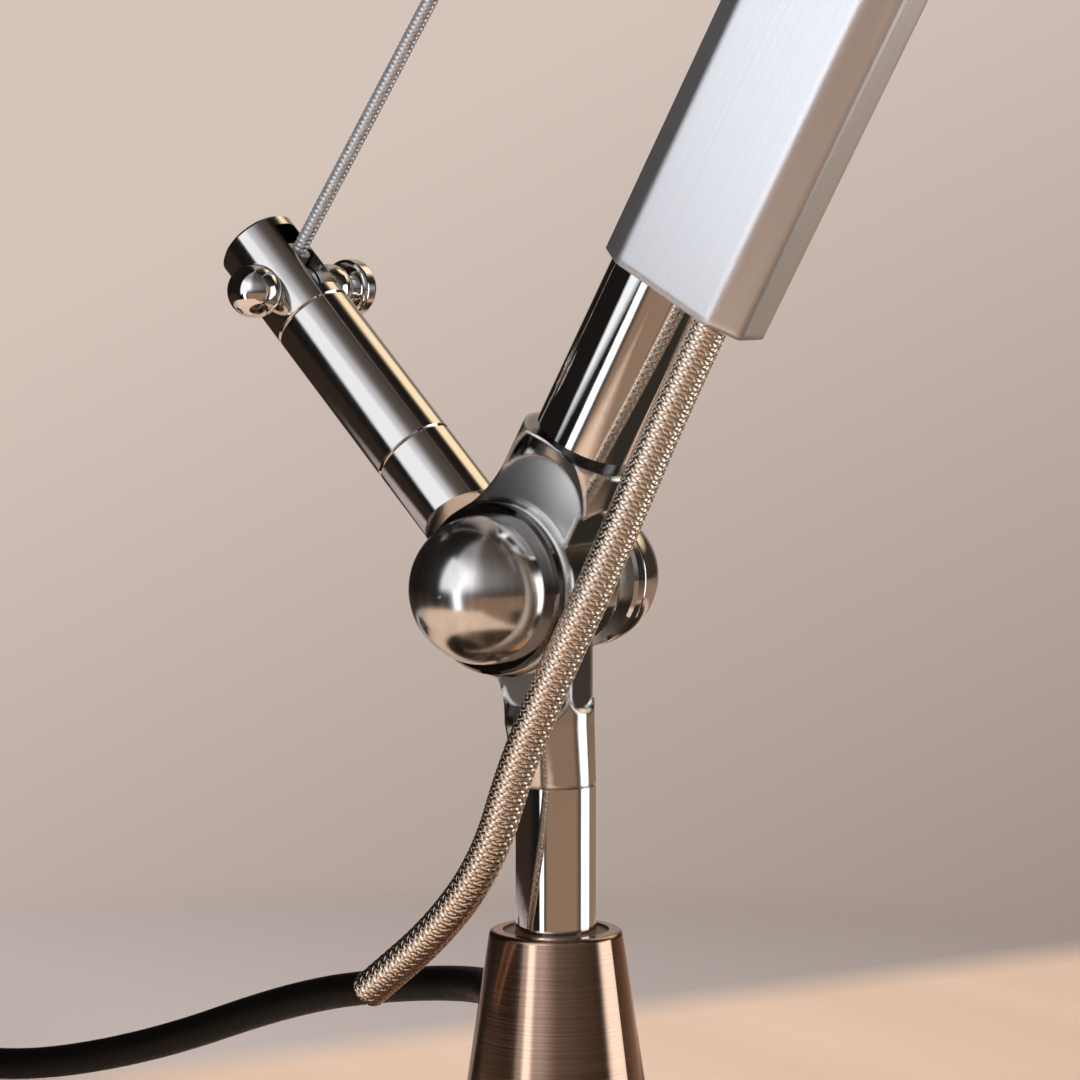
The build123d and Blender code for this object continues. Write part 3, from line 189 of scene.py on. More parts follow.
# %% The supply lead
LEAD_THICK, LEAD_LENGTH = 0.0064, 1.67
LEAD_ROUTE = [
    (-0.006614, 0.005955, 0.045),
    (-0.033065, 0.029771, 0.045),
    (-0.047, 0.0425, 0.0434),
    (-0.072, 0.0513, 0.0389),
    (-0.103, 0.059, 0.0314),
    (-0.146, 0.0662, 0.0148),
    (-0.184, 0.0682, 0.005),
    (-0.212, 0.069, 0.0041),
    (-0.2356, 0.069, 0.0041),
]
COIL_CENTRE = np.array([-0.242, 0.0235])
COIL_RADIUS, COIL_PITCH, COIL_FLOOR = 0.0455, 0.007, 0.0041
COIL_TURNS, COIL_CLIMB, COIL_POINTS_A_TURN = 3.0, 0.5, 24
PLUG_RUN = np.array([[0.010, 0.0, 0.0], [0.020, 0.0, 0.0]])
SPLINE_ORDER, SPLINE_STEPS, ROUND_STEPS = 3, 8, 5


def coil_turns():
    """Points of a two-layer spiral: the radius shrinks a pitch a turn, then grows again; the height climbs
    between, as half a cosine."""
    whole = 2 * COIL_TURNS + COIL_CLIMB
    turn = np.linspace(0.0, whole, int(whole * COIL_POINTS_A_TURN) + 1)
    inward = np.minimum(turn, whole - turn)
    radius = COIL_RADIUS - COIL_PITCH * inward
    angle = pi / 2 + 2 * pi * turn
    climb = np.clip((turn - COIL_TURNS) / COIL_CLIMB, 0.0, 1.0)
    height = COIL_FLOOR + COIL_PITCH * (1 - np.cos(pi * climb)) / 2
    flat = COIL_CENTRE + radius[:, None] * np.stack([np.cos(angle), np.sin(angle)], axis=1)
    return np.column_stack([flat, height])


def smooth_lead(name, points, thick, steps=SPLINE_STEPS):
    """A curve of one quadratic spline with the points as its control points, and a round section of each
    point's radius."""
    curve = bpy.data.curves.new(name, "CURVE")
    curve.dimensions = "3D"
    curve.bevel_depth = 1.0
    curve.bevel_resolution = ROUND_STEPS
    curve.use_fill_caps = True
    spline = curve.splines.new("NURBS")
    spline.points.add(len(points) - 1)
    spline.points.foreach_set("co", np.column_stack([points, np.ones(len(points))]).ravel())
    spline.points.foreach_set("radius", np.full(len(points), thick / 2))
    spline.order_u = SPLINE_ORDER
    spline.use_endpoint_u = True
    spline.resolution_u = steps
    obj = bpy.data.objects.new(name, curve)
    scene.collection.objects.link(obj)
    return obj


coil = coil_turns()
lead_points = np.vstack([LEAD_ROUTE, coil, coil[-1] + PLUG_RUN])
lead = smooth_lead("supply_flex", lead_points, LEAD_THICK)
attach(lead, "base")
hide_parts("supply_lead", "lead_coil")
print("supply lead points", len(lead_points))

# %% [markdown]
# The braided lead hangs in front of the joint and ends free, so its weave is seen at arm's length. A picture
# of a weave on a plain tube would look printed: here two families of flat strands wind opposite ways round a
# core, and breathe in and out against each other, so that each strand passes over one and under the next.
# Both families, the core and the end are surfaces carried along the lead's own smooth line.

# %% The line of the braided lead
BRAID_THICK = 0.006
BRAID_ROUTE = [
    (0.046891, -0.0133, 0.179193),
    (0.033595, -0.0133, 0.155693),
    (0.0221, -0.0184, 0.1257),
    (0.0143, -0.0197, 0.1100),
    (0.0071, -0.0203, 0.0947),
    (0.0015, -0.0201, 0.0791),
    (-0.0086, -0.0194, 0.0670),
    (-0.0214, -0.0200, 0.0565),
]
END_LENGTH, END_ROUND, GUIDE_STEPS = 0.0024, 0.0010, 24
last, before = np.array(BRAID_ROUTE[-1]), np.array(BRAID_ROUTE[-2])
BRAID_ROUTE.append(tuple(last + (last - before) / np.linalg.norm(last - before) * END_LENGTH))


def points_of(curve_object):
    """The points along a curve with no bevel, as Blender evaluates it."""
    curve_object.data.bevel_depth = 0.0
    mesh = bpy.data.meshes.new_from_object(curve_object)
    points = np.empty(len(mesh.vertices) * 3)
    mesh.vertices.foreach_get("co", points)
    bpy.data.meshes.remove(mesh)
    return points.reshape(-1, 3)


def along(line, count):
    """A line divided evenly: its points, its lengths from the start, and two directions square to it at each
    point."""
    step = np.r_[0.0, np.cumsum(np.linalg.norm(np.diff(line, axis=0), axis=1))]
    length = np.linspace(0.0, step[-1], count)
    points = np.stack([np.interp(length, step, line[:, i]) for i in range(3)], axis=1)
    way = np.gradient(points, length, axis=0)
    way /= np.linalg.norm(way, axis=1, keepdims=True)
    side = np.array([0.0, 1.0, 0.0]) - way * way[:, 1:2]
    side /= np.linalg.norm(side, axis=1, keepdims=True)
    return points, length, side, np.cross(way, side)


guide = smooth_lead("braid_guide", np.array(BRAID_ROUTE), BRAID_THICK, GUIDE_STEPS)
braid_line = points_of(guide)
bpy.data.objects.remove(guide)
print("braid line", len(braid_line), "points")

# %% [markdown]
# A grid of points becomes a mesh with one call. The faces are worked out as whole arrays: each takes its
# corner and the next ones along both sides of the grid, and where the surface closes on itself the last
# column meets the first.


# %% A mesh from grids of points
def grid_faces(rows, columns, closed, first=0):
    """Four-sided faces of a grid that is closed across its columns or open."""
    row, column = np.meshgrid(np.arange(rows - 1), np.arange(columns if closed else columns - 1),
                              indexing="ij")
    after = (column + 1) % columns
    here, above = row * columns, (row + 1) * columns
    corners = [here + column, here + after, above + after, above + column]
    return first + np.stack(corners, axis=-1).reshape(-1, 4)


def mesh_of(name, grids, closed=True, capped=True, patterns=None):
    """One smooth mesh of several grids, each (rows, columns, 3), with a pair of pattern coordinates at each
    point. A closed grid is a tube, and its two ends are capped with one face each."""
    points = [g.reshape(-1, 3) for g in grids]
    firsts = np.r_[0, np.cumsum([len(p) for p in points])]
    faces = [grid_faces(g.shape[0], g.shape[1], closed, f) for g, f in zip(grids, firsts)]
    for g, f in zip(grids, firsts):
        rows, columns = g.shape[:2]
        if closed and capped:
            faces.append(np.arange(f, f + columns)[::-1])
            faces.append(np.arange(f + (rows - 1) * columns, f + rows * columns))
    polygons = [p for block in faces for p in (block.tolist() if block.ndim == 2 else [block.tolist()])]
    mesh = bpy.data.meshes.new(name)
    mesh.from_pydata(np.concatenate(points), [], polygons)
    mesh.polygons.foreach_set("use_smooth", np.ones(len(mesh.polygons), bool))
    if patterns is not None:
        corners = np.empty(len(mesh.loops), int)
        mesh.loops.foreach_get("vertex_index", corners)
        flat = np.concatenate([p.reshape(-1, 2) for p in patterns])
        mesh.uv_layers.new(name="pattern").data.foreach_set("uv", flat[corners].ravel())
    mesh.update()
    obj = bpy.data.objects.new(name, mesh)
    scene.collection.objects.link(obj)
    return obj


def circle(angle, side, up):
    """Unit directions round a line: the cosine of each angle along side and its sine along up."""
    return np.cos(angle)[..., None] * side[:, None] + np.sin(angle)[..., None] * up[:, None]


print("mesh helpers ready")

# %% [markdown]
# The strands: twelve wind one way and twelve the other. Where a strand of one family meets the other family
# it must lie over one and under the next, and both families cross at the same lengths, so one wave along the
# lead, added to one family and taken from the other, weaves them all.

# %% The braided lead
STRANDS, STRAND_WIDE, STRAND_THICK = 12, 0.00112, 0.00022
WEAVE_RADIUS, WEAVE_SWING, WEAVE_LEAN = 0.00278, 0.00012, radians(44.0)
BRAID_STEPS, STRAND_SIDES, CORE_SIDES = 480, 8, 32
BRAID_INSIDE, BRAID_PATH_STEP, MILLIMETRES = 0.015, 6, 1000


def rounded_end(length):
    """How far the surface draws in towards the free end: a quarter circle over its last millimetre."""
    past = np.clip(length - (length[-1] - END_ROUND), 0.0, END_ROUND)
    return END_ROUND - np.sqrt(END_ROUND**2 - past**2)


def strand(points, length, side, up, start, way):
    """A flat strand: it turns about the line by its lean, swings in and out as the wave says, and its section
    is an oval with a flattened back, the square root of a sine."""
    rate = way * tan(WEAVE_LEAN) / WEAVE_RADIUS
    turn = start + rate * length
    radius = WEAVE_RADIUS + way * WEAVE_SWING * np.cos(STRANDS * rate * length) - rounded_end(length)
    section = np.linspace(0.0, 2 * pi, STRAND_SIDES, endpoint=False)
    across = turn[:, None] + np.cos(section) * STRAND_WIDE / 2 / WEAVE_RADIUS / cos(WEAVE_LEAN)
    back = np.sign(np.sin(section)) * np.sqrt(np.abs(np.sin(section)))
    out = radius[:, None] + back * STRAND_THICK / 2
    pattern = np.stack(np.broadcast_arrays(length[:, None] * MILLIMETRES, np.cos(section)[None, :]), axis=-1)
    return points[:, None] + out[..., None] * circle(across, side, up), pattern


def round_tube(points, side, up, radius, sides):
    """A circle of the given radius at each point, carried along the line."""
    angle = np.linspace(0.0, 2 * pi, sides, endpoint=False)[None, :]
    return points[:, None] + radius[:, None, None] * circle(angle, side, up)


points, length, side, up = along(braid_line, BRAID_STEPS)
woven = [strand(points, length, side, up, 2 * pi * k / STRANDS, way)
         for way in (1, -1) for k in range(STRANDS)]
braid = mesh_of("steel_braid", [w[0] for w in woven], patterns=[w[1] for w in woven])
core_radius = WEAVE_RADIUS - STRAND_THICK / 2 - rounded_end(length)
core = mesh_of("braid_core", [round_tube(points, side, up, core_radius, CORE_SIDES)])
for piece in (braid, core):
    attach(piece, "arm")
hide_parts("braided_lead", "lead_ferrule")
print("braid faces", len(braid.data.polygons), "length", round(float(length[-1]), 4))

# %% [markdown]
# The stay wire is wound from fine steel wire, turn against turn, and shows as a thin rod with bright beads
# along it. Modelling the winding as a helix of round wire would hide most of its faces inside. Only its
# outside is seen, so it is one surface: a rod whose radius follows the round backs of the turns, in a screw.

# %% The stay wire
WIRE_LEAN, WIRE_THICK, WIRE_PITCH, WIRE_BACK = radians(34.4), 0.0025, 0.00082, 0.9
WIRE_STEPS_A_TURN, WIRE_SIDES, WIRE_GUIDE_POINTS = 9, 18, 8


def wound_rod(start, end, thick, pitch):
    """A rod whose radius is the round back of a turn of wire: a circle's arc over each pitch, shifted with
    the angle."""
    count = int(np.linalg.norm(end - start) / pitch * WIRE_STEPS_A_TURN)
    points, length, side, up = along(np.linspace(start, end, WIRE_GUIDE_POINTS), count)
    angle = np.linspace(0.0, 2 * pi, WIRE_SIDES, endpoint=False)[None, :]
    across = (length[:, None] / pitch - angle / (2 * pi)) % 1.0 - 0.5
    back = WIRE_BACK * pitch
    radius = thick / 2 - back + np.sqrt(back**2 - (across * pitch) ** 2)
    return points[:, None] + radius[..., None] * circle(angle, side, up)


low, high = (np.array(corner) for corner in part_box("stay_wire"))
wire_way = np.array([sin(WIRE_LEAN), 0.0, cos(WIRE_LEAN)])
wire_middle = (low + high) / 2
wire_half = (high[2] - low[2] - WIRE_THICK * sin(WIRE_LEAN)) / 2 / cos(WIRE_LEAN)
wire_ends = wire_middle - wire_way * wire_half, wire_middle + wire_way * wire_half
wire = mesh_of("wound_wire", [wound_rod(*wire_ends, WIRE_THICK, WIRE_PITCH)])
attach(wire, "wire")
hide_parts("stay_wire")
print("wire faces", len(wire.data.polygons), "length", round(2 * wire_half, 4))

# %% [markdown]
# Polished chrome is a mirror, so most of its look is what stands round it. The plating itself is not perfect:
# it has a faint unevenness from polishing and a thin film here and there, which a little noise in the
# roughness gives. The knuckles are milled: their flats are duller than their turned sides. The ball knobs are
# darker nickel, brushed up and down before plating, so their streaks run along the lamp's height.

# %% Chrome and nickel
CHROME_FILM, CHROME_WAVE = (90.0, 90.0, 40.0), 260.0
SATIN_RUB, MILL_LINES, NICKEL_STREAKS = (420.0, 420.0, 60.0), (900.0, 900.0, 60.0), (520.0, 520.0, 26.0)
TURNED_ROUGH, FLAT_ROUGH, MILLED_EDGE = 0.06, 0.28, 0.0011
CROWN_RADIUS, CROWN_MIDDLE = 0.085, (0.0095, -0.015, 0.1310)

chrome = Finish("polished_chrome", (0.78, 0.775, 0.77), 0.05, 1.0)
film = chrome.noise(chrome.stretched(CHROME_FILM), 1.0, 4.0)
chrome.feed(Roughness=chrome.between(film, 0.035, 0.085))
chrome.bump(chrome.noise(chrome.place, CHROME_WAVE, 2.0), 0.05, 0.0002)
wear(chrome, "stem", "dome_nut", "cross_pin", "pin_nut", "arm_tube", "head_dome_nut", "head_end_cap",
     "tail_pin", "tail_nut")

satin = Finish("satin_chrome", (0.70, 0.685, 0.675), 0.17, 1.0)
rubbed = satin.noise(satin.stretched(SATIN_RUB), 1.0, 4.0)
satin.feed(Roughness=satin.between(rubbed, 0.08, 0.13))
satin.bump(rubbed, 0.03, 0.0001)
wear(satin, "lever_root", "lever_rod", "lever_cap", "tail_rod", "tail_cap")


def milled(name, crown=None):
    """Chrome with satin flats: faces that look along Y are rougher, and round a crown point they bulge a
    little, by the square of the distance over twice a radius."""
    finish = Finish(name, (0.72, 0.715, 0.71), TURNED_ROUGH, 1.0)
    normal = finish.node("ShaderNodeTexCoord").outputs["Normal"]
    facing = finish.node("ShaderNodeSeparateXYZ", {0: normal}).outputs["Y"]
    flat_on = finish.node("ShaderNodeMath", {0: facing}, operation="ABSOLUTE").outputs[0]
    finish.feed(Roughness=finish.between(flat_on, TURNED_ROUGH, FLAT_ROUGH, 0.96, 0.995))
    if crown is None:
        finish.bump(finish.noise(finish.stretched(MILL_LINES)), 0.05, 0.0001, MILLED_EDGE)
        return finish
    away = finish.node("ShaderNodeVectorMath", {0: finish.place}, {1: crown}, operation="DISTANCE")
    square = finish.math("MULTIPLY", away.outputs["Value"], away.outputs["Value"])
    on_flat = finish.between(flat_on, 0.0, -1.0, 0.995, 0.999)
    finish.bump(finish.math("MULTIPLY", square, on_flat), 1.0, 1 / (2 * CROWN_RADIUS), MILLED_EDGE)
    return finish


wear(milled("milled_chrome"), "lower_knuckle", "top_block", "head_yoke")
wear(milled("crowned_chrome", CROWN_MIDDLE), "upper_knuckle")

nickel = Finish("dark_nickel", (0.64, 0.62, 0.61), 0.12, 1.0)
streak = nickel.noise(nickel.stretched(NICKEL_STREAKS), 1.0, 4.0)
nickel.feed(Base_Color=nickel.tint(streak, (0.60, 0.585, 0.58), (0.74, 0.725, 0.715)))
nickel.feed(Roughness=nickel.between(streak, 0.16, 0.21))
nickel.bump(streak, 0.04, 0.0001)
wear(nickel, "ball_knob", "head_knob")


def plain_metal(name, color, rough, grain):
    """A metal whose roughness goes between two values with a fine grain."""
    finish = Finish(name, color, sum(rough) / 2, 1.0)
    finish.feed(Roughness=finish.between(finish.noise(finish.place, grain), *rough))
    return finish


wear(plain_metal("black_nickel", (0.20, 0.195, 0.19), (0.08, 0.14), 400.0), "knob_bezel", "head_bezel")
print("chrome and nickel done")

# %% [markdown]
# The neck is turned on a lathe: its fine grooves run round it, which smear every reflection into a tall
# streak. An anisotropic shader does that when its tangent runs round the axis, and noise stretched round the
# axis, thin in height, draws the grooves themselves. The arm and the head are extruded aluminium, brushed
# along their length, with edges that are eased by a millimetre and a half.

# %% Turned bronze and brushed aluminium
GROOVES, BRUSHED_FINE, BRUSHED_LONG = (14.0, 14.0, 3600.0), 4200.0, 22.0
ALONG_GROOVES = 0.25
ARM_LEAN, EASED_EDGE = radians(29.5), 0.0016

bronze = Finish("turned_bronze", (0.49, 0.335, 0.255), 0.20, 1.0, Anisotropic=0.7,
                Anisotropic_Rotation=ALONG_GROOVES)
groove = bronze.noise(bronze.stretched(GROOVES), 1.0, 3.0, 0.6)
bronze.feed(Base_Color=bronze.tint(groove, (0.43, 0.285, 0.21), (0.55, 0.385, 0.30)))
bronze.feed(Roughness=bronze.between(groove, 0.16, 0.23))
bronze.bump(groove, 0.05, 0.0001)
bronze.feed(Tangent=bronze.node("ShaderNodeTangent", direction_type="RADIAL", axis="Z").outputs[0])
wear(bronze, "neck_cone", "base_plate")


def brushed(name, turn, scale, way):
    """Brushed aluminium whose lines run along way, the axis that the turned scale leaves long."""
    finish = Finish(name, (0.87, 0.89, 0.93), 0.31, 1.0, Anisotropic=0.6, Anisotropic_Rotation=ALONG_GROOVES)
    line = finish.noise(finish.stretched(scale, turn), 1.0, 4.0, 0.6)
    finish.feed(Base_Color=finish.tint(line, (0.82, 0.83, 0.865), (0.92, 0.93, 0.965)))
    finish.feed(Roughness=finish.between(line, 0.28, 0.35))
    finish.bump(line, 0.05, 0.0001, EASED_EDGE)
    lines = finish.node("ShaderNodeVectorTransform", None, {0: way}, vector_type="VECTOR",
                        convert_from="OBJECT", convert_to="WORLD").outputs[0]
    finish.feed(Tangent=lines)
    return finish


arm_way = (sin(ARM_LEAN), 0.0, cos(ARM_LEAN))
arm_brushed = brushed("arm_aluminium", (0.0, -ARM_LEAN, 0.0), (BRUSHED_FINE, BRUSHED_FINE, BRUSHED_LONG),
                      arm_way)
wear(arm_brushed, "arm_profile")
head_brushed = brushed("head_aluminium", (0.0, 0.0, 0.0), (BRUSHED_LONG, BRUSHED_FINE, BRUSHED_FINE),
                       (1.0, 0.0, 0.0))
wear(head_brushed, "head_profile")
print("bronze and aluminium done")

# %% [markdown]
# Small steel pieces, the wound wire and the braid are bare steel with a coarser polish. The braid's strands
# are bundles of fine wires: lines across each strand, read from its own pattern coordinates, show them. The
# braid's warm copper tone is a painted reflection of the tan table.

# %% Steel wire, braid and small steel pieces
STRAND_WIRES = (0.0, 2.2, 1.0)

steel = Finish("wound_steel", (0.62, 0.64, 0.68), 0.36, 0.75)
tarnish = steel.noise(steel.place, 900.0)
steel.feed(Base_Color=steel.tint(tarnish, (0.54, 0.56, 0.60), (0.70, 0.72, 0.76)))
steel.feed(Roughness=steel.between(tarnish, 0.26, 0.40))
wear(steel, wire)

braid_steel = Finish("braid_steel", (0.70, 0.67, 0.64), 0.20, 1.0, Anisotropic=0.6,
                     Anisotropic_Rotation=ALONG_GROOVES)
strand_way = braid_steel.node("ShaderNodeTangent", direction_type="UV_MAP", uv_map="pattern")
braid_steel.feed(Tangent=strand_way.outputs[0])
pattern = braid_steel.node("ShaderNodeUVMap", uv_map="pattern").outputs[0]
fine = braid_steel.node("ShaderNodeMapping", {"Vector": pattern}, {"Scale": STRAND_WIRES}).outputs[0]
wires = braid_steel.node("ShaderNodeTexWave", {"Vector": fine}, {"Scale": 1.0, "Distortion": 0.0},
                         bands_direction="Y").outputs["Fac"]
# Light and dark lines of the fine wires, in warm colours that are a painted reflection of the tan table.
braid_steel.feed(Base_Color=braid_steel.tint(wires, (0.68, 0.585, 0.50), (0.93, 0.82, 0.71), 0.1, 0.8))
braid_steel.bump(wires, 0.15, 0.00003)
wear(braid_steel, braid)

wear(plain_metal("turned_steel", (0.55, 0.55, 0.56), (0.20, 0.38), 700.0), "neck_screws", "stem_ring",
     "hinge_axle", "block_screws", "lower_anchor", "upper_anchor", "head_axle")
wear(plain_metal("dark_steel", (0.07, 0.07, 0.075), (0.18, 0.34), 500.0), "seat_ring")
print("steel done")

# %% [markdown]
# The rest is moulded: the rubber of the lead and its strain relief, the pad under the foot, bushes, plug and
# switch. Such surfaces are never one flat value, so each has a fine grain in its roughness and a slight bump.

# %% Rubber and mouldings
SMOOTHER, ROUGHER, GRAIN_BUMP = 0.06, 0.08, 0.2


def moulded(name, color, rough, grain, depth, spread=0.25, **sockets):
    """A moulded surface: colour and roughness vary a little with a fine grain, which also stands out a
    little."""
    finish = Finish(name, color, rough, **sockets)
    speck = finish.noise(finish.place, grain)
    dark = tuple(c * (1 - spread) for c in color)
    light = tuple(min(c * (1 + spread), 1.0) for c in color)
    finish.feed(Base_Color=finish.tint(speck, dark, light))
    finish.feed(Roughness=finish.between(speck, rough - SMOOTHER, rough + ROUGHER))
    finish.bump(speck, GRAIN_BUMP, depth)
    return finish


wear(moulded("lead_rubber", (0.002, 0.0018, 0.0016), 0.5, 700.0, 0.00005, Specular_IOR_Level=0.1),
     lead, "cord_gland", "lead_grommet")
wear(moulded("braid_core_rubber", (0.012, 0.011, 0.011), 0.55, 900.0, 0.00005), core)
wear(moulded("pad_felt", (0.045, 0.043, 0.042), 0.9, 1500.0, 0.0002), "foot_pad")
wear(moulded("black_plastic", (0.022, 0.022, 0.023), 0.5, 1200.0, 0.00006),
     "plug_body", "coil_tie", "switch_body")
wear(moulded("bush_polymer", (0.03, 0.03, 0.031), 0.4, 900.0, 0.00005),
     "lower_cup", "friction_washer", "end_insert")
wear(moulded("bush_brown", (0.17, 0.105, 0.075), 0.34, 900.0, 0.00004), "upper_bush")
wear(moulded("core_insulation", (0.55, 0.22, 0.09), 0.45, 900.0, 0.00003), "core_wires")
print("mouldings done")

# %% [markdown]
# The head's light is off. Its opal cover lets a little light through, so the shader has some subsurface; the
# board is white lacquer, and each chip is a pale yellow lens. The plug's pins are brass, the button satin
# metal.

# %% The light and the small bright pieces
OPAL_DEEP = (0.003, 0.003, 0.003)

wear(moulded("opal_cover", (0.90, 0.90, 0.87), 0.35, 400.0, 0.00004, 0.03, Subsurface_Weight=0.25,
             Subsurface_Radius=OPAL_DEEP), "diffuser")
wear(moulded("board_white", (0.83, 0.84, 0.82), 0.45, 900.0, 0.00003, 0.04), "led_board")
wear(moulded("chip_yellow", (0.86, 0.68, 0.16), 0.3, 1800.0, 0.00003, 0.08), "led_chips")
wear(plain_metal("pin_brass", (0.72, 0.56, 0.30), (0.15, 0.32), 500.0), "plug_pins")
wear(plain_metal("button_satin", (0.70, 0.70, 0.71), (0.18, 0.34), 900.0), "push_button")
print("light and small pieces done")

# %% [markdown]
# The table is a plain pale sheet that fades out round the lamp, and sooner on its right, as a table does out
# of focus. Behind a soft straight edge it takes the tone of the floor, with painted shade that darkens it to
# the right. A second object could stand for the floor, but one sheet with two tones has no seam.

# %% The table
TABLE_MIDDLE, TABLE_CLEAR, TABLE_GONE = (-0.07, 0.03), 0.29, 0.35
TABLE_SIDES, TABLE_RINGS, TABLE_INNER = 96, 24, 0.0005
BACK_EDGE_WAY, BACK_EDGE, BACK_EDGE_SOFT = (0.925, -0.38, 0.0), -0.199, 0.012
BACK_EDGE_RUN, FLOOR_LIT_AT, FLOOR_SHADED_AT = (0.38, 0.925, 0.0), 0.05, 0.27
RIGHT_EDGE_CLEAR, RIGHT_EDGE_GONE = 0.118, 0.140
GRAIN_STRETCH, GRAIN_TURN = (3.0, 40.0, 1.0), (0.0, 0.0, radians(20.0))

angle = np.linspace(2 * pi, 0.0, TABLE_SIDES, endpoint=False)
ring = np.linspace(TABLE_INNER, TABLE_GONE, TABLE_RINGS)[:, None]
disc = np.stack(np.broadcast_arrays(TABLE_MIDDLE[0] + ring * np.cos(angle),
                                    TABLE_MIDDLE[1] + ring * np.sin(angle), 0.0), axis=-1)
table = mesh_of("table", [disc], capped=False)
table_top = Finish("pale_table", (0.80, 0.62, 0.49), 0.6, Specular_IOR_Level=0.0)
grain = table_top.noise(table_top.stretched(GRAIN_STRETCH, GRAIN_TURN))
planed = table_top.tint(grain, (0.89, 0.66, 0.50), (0.94, 0.70, 0.55))
on_top = table_top.between(table_top.along_way(BACK_EDGE_WAY), 0.0, 1.0, BACK_EDGE - BACK_EDGE_SOFT,
                           BACK_EDGE + BACK_EDGE_SOFT)
# The floor's tone carries painted shade: it darkens along the back edge towards the right.
floor_tone_and_shade = table_top.tint(table_top.along_way(BACK_EDGE_RUN), (0.61, 0.54, 0.52), (0.45, 0.385, 0.355),
                            FLOOR_LIT_AT, FLOOR_SHADED_AT)
two_tone = table_top.node("ShaderNodeMix", data_type="RGBA")
for socket, output in ((0, on_top), (6, floor_tone_and_shade), (7, planed)):
    table_top.tree.links.new(output, two_tone.inputs[socket])
table_top.feed(Base_Color=two_tone.outputs[2])
from_middle = table_top.node("ShaderNodeMapping", {"Vector": table_top.place},
                             {"Location": (-TABLE_MIDDLE[0], -TABLE_MIDDLE[1], 0.0)}).outputs[0]
reach = table_top.node("ShaderNodeVectorMath", {0: from_middle}, operation="LENGTH").outputs["Value"]
round_fade = table_top.between(reach, 1.0, 0.0, TABLE_CLEAR, TABLE_GONE)
across = table_top.node("ShaderNodeSeparateXYZ", {0: table_top.place}).outputs["X"]
right_fade = table_top.between(across, 1.0, 0.0, RIGHT_EDGE_CLEAR, RIGHT_EDGE_GONE)
table_top.feed(Alpha=table_top.math("MINIMUM", round_fade, right_fade))
wear(table_top, table)
print("table normal", tuple(round(x) for x in table.data.polygons[0].normal))

# %% [markdown]
# The wall is the world's own colour, with painted light that makes it lighter at the upper left and painted
# shade that darkens it towards the lower right. What the camera and the mirrors see of the world is the wall;
# what lights the lamp from all sides is a plainer, weaker tone.

# %% The wall
# Painted light and painted shade on the wall: its tone runs from a shaded tone at the lower right to a lit
# tone at the upper left.
WALL_SLOPE, WALL_LOW, WALL_HIGH = (-1.2, -0.9, 3.0), -0.91, 0.09
WALL_SHADED, WALL_LIT = (0.30, 0.24, 0.215, 1.0), (0.66, 0.55, 0.49, 1.0)
FILL_TONE, FILL_POWER = (0.62, 0.57, 0.54, 1.0), 0.45

world = bpy.data.worlds.new("studio")
scene.world = world
world.use_nodes = True
sky = world.node_tree
sky.nodes.clear()
way = add_node(sky, "ShaderNodeTexCoord").outputs["Generated"]
slope = add_node(sky, "ShaderNodeVectorMath", {0: way}, {1: WALL_SLOPE}, operation="DOT_PRODUCT")
shade = add_node(sky, "ShaderNodeMapRange", {0: slope.outputs["Value"]}, {1: WALL_LOW, 2: WALL_HIGH})
wall = add_node(sky, "ShaderNodeValToRGB", {0: shade.outputs[0]})
wall.color_ramp.elements[0].color = WALL_SHADED
wall.color_ramp.elements[1].color = WALL_LIT
seen = add_node(sky, "ShaderNodeBackground", {0: wall.outputs[0]}, {1: 1.0})
fill = add_node(sky, "ShaderNodeBackground", None, {0: FILL_TONE, 1: FILL_POWER})
path = add_node(sky, "ShaderNodeLightPath").outputs
either = add_node(sky, "ShaderNodeMath", {0: path["Is Camera Ray"], 1: path["Is Glossy Ray"]},
                  operation="MAXIMUM").outputs[0]
shows = add_node(sky, "ShaderNodeMath", {0: either, 1: path["Is Transmission Ray"]}, operation="MAXIMUM")
both_lights = add_node(sky, "ShaderNodeMixShader",
                       {0: shows.outputs[0], 1: fill.outputs[0], 2: seen.outputs[0]})
add_node(sky, "ShaderNodeOutputWorld", {0: both_lights.outputs[0]})
print("wall ready")

# %% [markdown]
# Chrome is as good as what it mirrors, so a studio wrap stands round the lamp that only reflections see. Many
# lamps could make the same streaks, but each would also light the table. The wrap is a sum of soft layers,
# each a band of colours round the lamp times a band of heights: a broad key on the left of the camera, two
# tall strips, the tan room in front, the wall behind and a golden glow on it.

# %% What the metal reflects
WRAP_REACH, WRAP_LOW, WRAP_HIGH, WRAP_POWER = 2.2, -50.0, 88.0, 2.4
WRAP_COLUMNS, WRAP_ROWS = 145, 48


def round_share(turn):
    """An angle to the right of the camera, in degrees, as a share of the wrap's width."""
    return turn / 360 + 0.5


def height_share(rise):
    """A height above the table's level, in degrees, as a share of the wrap's height."""
    return (rise - WRAP_LOW) / (WRAP_HIGH - WRAP_LOW)


around = np.linspace(-180.0, 180.0, WRAP_COLUMNS)[None, :]
rise = np.linspace(WRAP_LOW, WRAP_HIGH, WRAP_ROWS)[:, None]
turned, level = CAMERA_TURN + np.radians(around), np.cos(np.radians(rise))
wrap_grid = WRAP_REACH * np.stack(np.broadcast_arrays(
    level * np.sin(turned), -level * np.cos(turned), np.sin(np.radians(rise))), axis=-1)
wrap_pattern = np.stack(np.broadcast_arrays(round_share(around), height_share(rise)), axis=-1)
wrap = mesh_of("studio_wrap", [wrap_grid], closed=False, patterns=[wrap_pattern])

cloth = Finish("studio_cloth", (0.0, 0.0, 0.0), 1.0, Emission_Strength=WRAP_POWER)
spot = cloth.node("ShaderNodeSeparateXYZ", {0: cloth.node("ShaderNodeUVMap", uv_map="pattern").outputs[0]})


